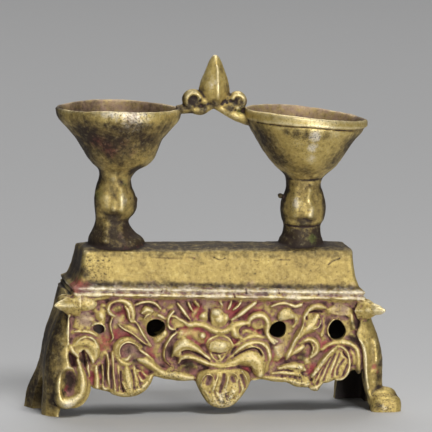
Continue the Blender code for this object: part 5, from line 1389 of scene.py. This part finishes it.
def raggedGroup():  # a soft field turned into a patch with a broken edge
    tree = bpy.data.node_groups.new("raggedEdge", "ShaderNodeTree")
    for name, start in (
        ("Field", 0.0), ("Per metre", 700.0), ("Threshold", 0.4), ("Break up", 0.5), ("Softness", 0.2),
    ):
        tree.interface.new_socket(name, in_out="INPUT", socket_type="NodeSocketFloat").default_value = start
    tree.interface.new_socket("Mask", in_out="OUTPUT", socket_type="NodeSocketFloat")
    given = tree.nodes.new("NodeGroupInput")
    made = tree.nodes.new("NodeGroupOutput")
    noise = noiseOf(tree, tree.nodes.new("ShaderNodeTexCoord"), 1.0, 5.0, 0.65)
    link(tree, given.outputs["Per metre"], noise.node.inputs["Scale"])
    broken = scaled(tree, less(tree, noise, 0.5), given.outputs["Break up"], given.outputs["Field"])
    over = less(tree, broken, given.outputs["Threshold"])
    share = maths(tree, "DIVIDE", over, given.outputs["Softness"])
    link(tree, maths(tree, "ADD", share, 0.5, clamp=True), made.inputs["Mask"])
    return tree


def oldBrass():
    material = bpy.data.materials.new("oldBrass")
    material.use_nodes = True
    tree = material.node_tree
    shader = tree.nodes["Principled BSDF"]
    shader.inputs["Specular IOR Level"].default_value = 0.3
    group = raggedGroup()
    place = tree.nodes.new("ShaderNodeTexCoord")
    names = ("crestFine", "crestWide", "openness", "field", "inside", *stainsAndPaintedLight)
    measured = {name: value(tree, name) for name in names}
    field, inside, pigment = measured["field"], measured["inside"], measured["pigment"]
    adds = brass["worn"]

    def patch(name, soft):  # where a layer shows
        perMetre, threshold, breakUp, softness, strength = brass["patches"][name]
        made = node(tree, "ShaderNodeGroup")
        made.node_tree = group
        link(tree, soft, made.inputs["Field"])
        for socket, setting in (
            ("Per metre", perMetre), ("Threshold", threshold), ("Break up", breakUp), ("Softness", softness),
        ):
            made.inputs[socket].default_value = setting
        mask = made.outputs["Mask"]
        return mask if strength == 1.0 else times(tree, mask, strength)

    # wear and painted light and shade: 0 in a recess, about 0.5 on plain skin and 1 on a rubbed crest
    crest = maths(tree, "MAXIMUM", times(tree, measured["crestFine"], adds["crestFine"]), -0.35)
    proud = scaled(tree, measured["crestWide"], adds["crestWide"], crest)
    # less open places go lower and darker: dirt and patina in hollows, and painted shade
    worn = scaled(tree, less(tree, measured["openness"], 0.85), adds["openness"], 0.42)
    worn = maths(tree, "ADD", worn, proud)
    worn = scaled(tree, measured["rubSpotsAndHighlights"], adds["rubSpotsAndHighlights"], worn)
    worn = scaled(tree, measured["tarnish"], adds["tarnish"], worn)
    streak = less(tree, noiseOf(tree, place, 420.0, 3.0, 0.6, (1.0, 1.0, 0.22)), 0.5)
    sootAndShade = scaled(tree, streak, 0.5, measured["sootAndShade"])
    worn = scaled(tree, sootAndShade, adds["sootAndShade"], worn)
    cloud = less(tree, noiseOf(tree, place, 140.0), 0.5)
    worn = scaled(tree, cloud, adds["cloud"], worn)

    # the floor of the carving runs from purple-brown to rose
    blush = scaled(tree, pigment, 0.55, noiseOf(tree, place, 260.0, 5.0, 0.7))
    rosy = times(tree, less(tree, blush, 0.42), 2.6, clamp=True)
    floor = blend(tree, rosy, brass["hollow"], brass["rose"])
    # outside the carved field the lowest, least open places go near black: soot and painted shade
    floor = blend(tree, field, brass["sootAndShade"], floor)
    colour = blend(tree, patch("deep", worn), brass["deep"], floor)
    for name in ("dull", "gold", "rubbedAndHighlit"):
        colour = blend(tree, patch(name, worn), colour, brass[name])
    dusty = patch("lilac", measured["lilac"])
    colour = blend(tree, dusty, colour, brass["lilac"])
    # pale wear, and the painted highlight on the right bowl
    colour = blend(tree, patch("chalkAndGlint", measured["chalkAndGlint"]), colour, brass["chalkAndGlint"])
    # pigment clings below the crests
    red = patch("pigment", scaled(tree, worn, -0.5, times(tree, pigment, 1.1)))
    colour = blend(tree, red, colour, brass["pigment"])
    # soot and painted shade spare the thickest pigment
    spared = times(tree, less(tree, pigment, 0.9), 2.5, clamp=True)
    sootAndShadeMask = times(tree, patch("sootAndShade", sootAndShade), less(tree, 1.0, spared))
    colour = blend(tree, sootAndShadeMask, colour, brass["sootAndShade"])
    colour = blend(tree, patch("green", measured["green"]), colour, brass["green"])
    # painted crease shade and dirt: thin dark lines at the foot of each form
    colour = blend(tree, patch("creaseDirtAndShade", times(tree, measured["crestFine"], -5.0)), colour, brass["deep"])
    # specks everywhere, thicker in some places
    grit = scaled(tree, measured["speckle"], 0.1, noiseOf(tree, place, 2100.0, 3.0))
    grit = scaled(tree, field, 0.035, grit)
    speck = times(tree, less(tree, grit, 0.62), 9.0, clamp=True)
    colour = blend(tree, times(tree, speck, 0.8), colour, brass["speck"])
    # fine mottling, light and dark
    mottle = noiseOf(tree, place, 900.0, 6.0, 0.75)
    paler = times(tree, less(tree, mottle, 0.54, clamp=True), 3.0, clamp=True)
    paler = times(tree, paler, times(tree, worn, 0.9, clamp=True))
    colour = blend(tree, paler, colour, brass["rubbedAndHighlit"])
    gritty = scaled(tree, field, 0.025, scaled(tree, measured["speckle"], 0.06, 0.425))
    darker = times(tree, less(tree, gritty, mottle, clamp=True), 5.0, clamp=True)
    colour = blend(tree, times(tree, darker, 0.7), colour, brass["speck"])
    # painted shade: the faces inside the table take the near black of soot
    colour = blend(tree, inside, colour, brass["sootAndShade"])
    link(tree, colour, shader.inputs["Base Color"])

    # dirt and painted shade hide the metal and dull it
    dirtAndShade = maths(tree, "MAXIMUM", maths(tree, "MAXIMUM", sootAndShadeMask, red), maths(tree, "MAXIMUM", dusty, speck))
    metal = scaled(tree, patch("metal", worn), 0.55, 0.05)
    for cover, share in ((dirtAndShade, -0.7), (inside, -0.8), (field, -0.4)):
        metal = times(tree, metal, scaled(tree, cover, share, 1.0))
    link(tree, metal, shader.inputs["Metallic"])
    rough = maths(tree, "MAXIMUM", scaled(tree, worn, -0.3, 0.64, clamp=True), 0.4)
    rough = scaled(tree, field, 0.1, scaled(tree, dirtAndShade, 0.15, rough))
    link(tree, rough, shader.inputs["Roughness"])

    grain = noiseOf(tree, place, 1100.0, 6.0, 0.7)
    bump = node(tree, "ShaderNodeBump", Strength=0.7, Distance=brass["bump"] * mm)
    link(tree, grain, bump.inputs["Height"])
    link(tree, bump.outputs["Normal"], shader.inputs["Normal"])
    return material


mesh.materials.clear()
mesh.materials.append(oldBrass())
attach(lamp, "root")
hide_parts("oil_lamp")
print("lamp dressed")


# Studio
studio = {
    "floor": (0.55, 0.55, 0.55),
    "air": (0.052, 0.052, 0.054),  # light from all round
    # azimuth, elevation, distance, size and power of each soft light
    "lights": (
        (12, 58, 0.8, 0.25, 3.4),
        (17, 4, 1.0, 0.28, 7.0),
        (-30, 10, 1.0, 0.25, 0.9),
        (175, 55, 1.8, 1.4, 16.0),
    ),
    "lit": (0.0, 0.0, 0.05),  # where the lights point
    # the camera's direction, distance and aim, and the width that it takes in there
    "azimuth": -8.0,
    "elevation": 7.6,
    "distance": 2.4,
    "aim": (0.0014, 0.0006, 0.0572),
    "frameWidth": 0.1279,
}


def outward(azimuth, elevation):  # a direction, from the front
    turn, lift = math.radians(azimuth), math.radians(elevation)
    return Vector((math.sin(turn) * math.cos(lift), -math.cos(turn) * math.cos(lift), math.sin(lift)))


def buildStudio():
    floorMesh = bpy.data.meshes.new("floor")
    floorMesh.from_pydata([(-6, -6, 0), (6, -6, 0), (6, 6, 0), (-6, 6, 0)], [], [(0, 1, 2, 3)])
    floor = bpy.data.objects.new("floor", floorMesh)
    bpy.context.scene.collection.objects.link(floor)
    paper = bpy.data.materials.new("palePaper")
    paper.use_nodes = True
    shader = paper.node_tree.nodes["Principled BSDF"]
    shader.inputs["Base Color"].default_value = (*studio["floor"], 1.0)
    shader.inputs["Roughness"].default_value = 0.7
    floorMesh.materials.append(paper)

    world = bpy.data.worlds.new("studio")
    world.use_nodes = True
    background = world.node_tree.nodes["Background"]
    background.inputs["Color"].default_value = (*studio["air"], 1.0)
    background.inputs["Strength"].default_value = 1.0
    bpy.context.scene.world = world
    bpy.context.scene.view_settings.view_transform = "Standard"

    for number, (azimuth, elevation, distance, size, power) in enumerate(studio["lights"]):
        data = bpy.data.lights.new(f"softLight{number}", "AREA")
        data.size = size
        data.energy = power
        lightObject = bpy.data.objects.new(data.name, data)
        lightObject.location = Vector(studio["lit"]) + outward(azimuth, elevation) * distance
        lightObject.rotation_euler = outward(azimuth, elevation).to_track_quat("Z", "Y").to_euler()
        lightObject.visible_camera = False
        bpy.context.scene.collection.objects.link(lightObject)

    lens = bpy.data.cameras.new("camera")
    lens.sensor_width = 36.0
    lens.lens = lens.sensor_width * studio["distance"] / studio["frameWidth"]
    lens.clip_end = 20.0
    camera = bpy.data.objects.new("camera", lens)
    away = outward(studio["azimuth"], studio["elevation"])
    camera.location = Vector(studio["aim"]) + away * studio["distance"]
    camera.rotation_euler = away.to_track_quat("Z", "Y").to_euler()
    bpy.context.scene.collection.objects.link(camera)
    bpy.context.scene.camera = camera


buildStudio()
print("studio lit")
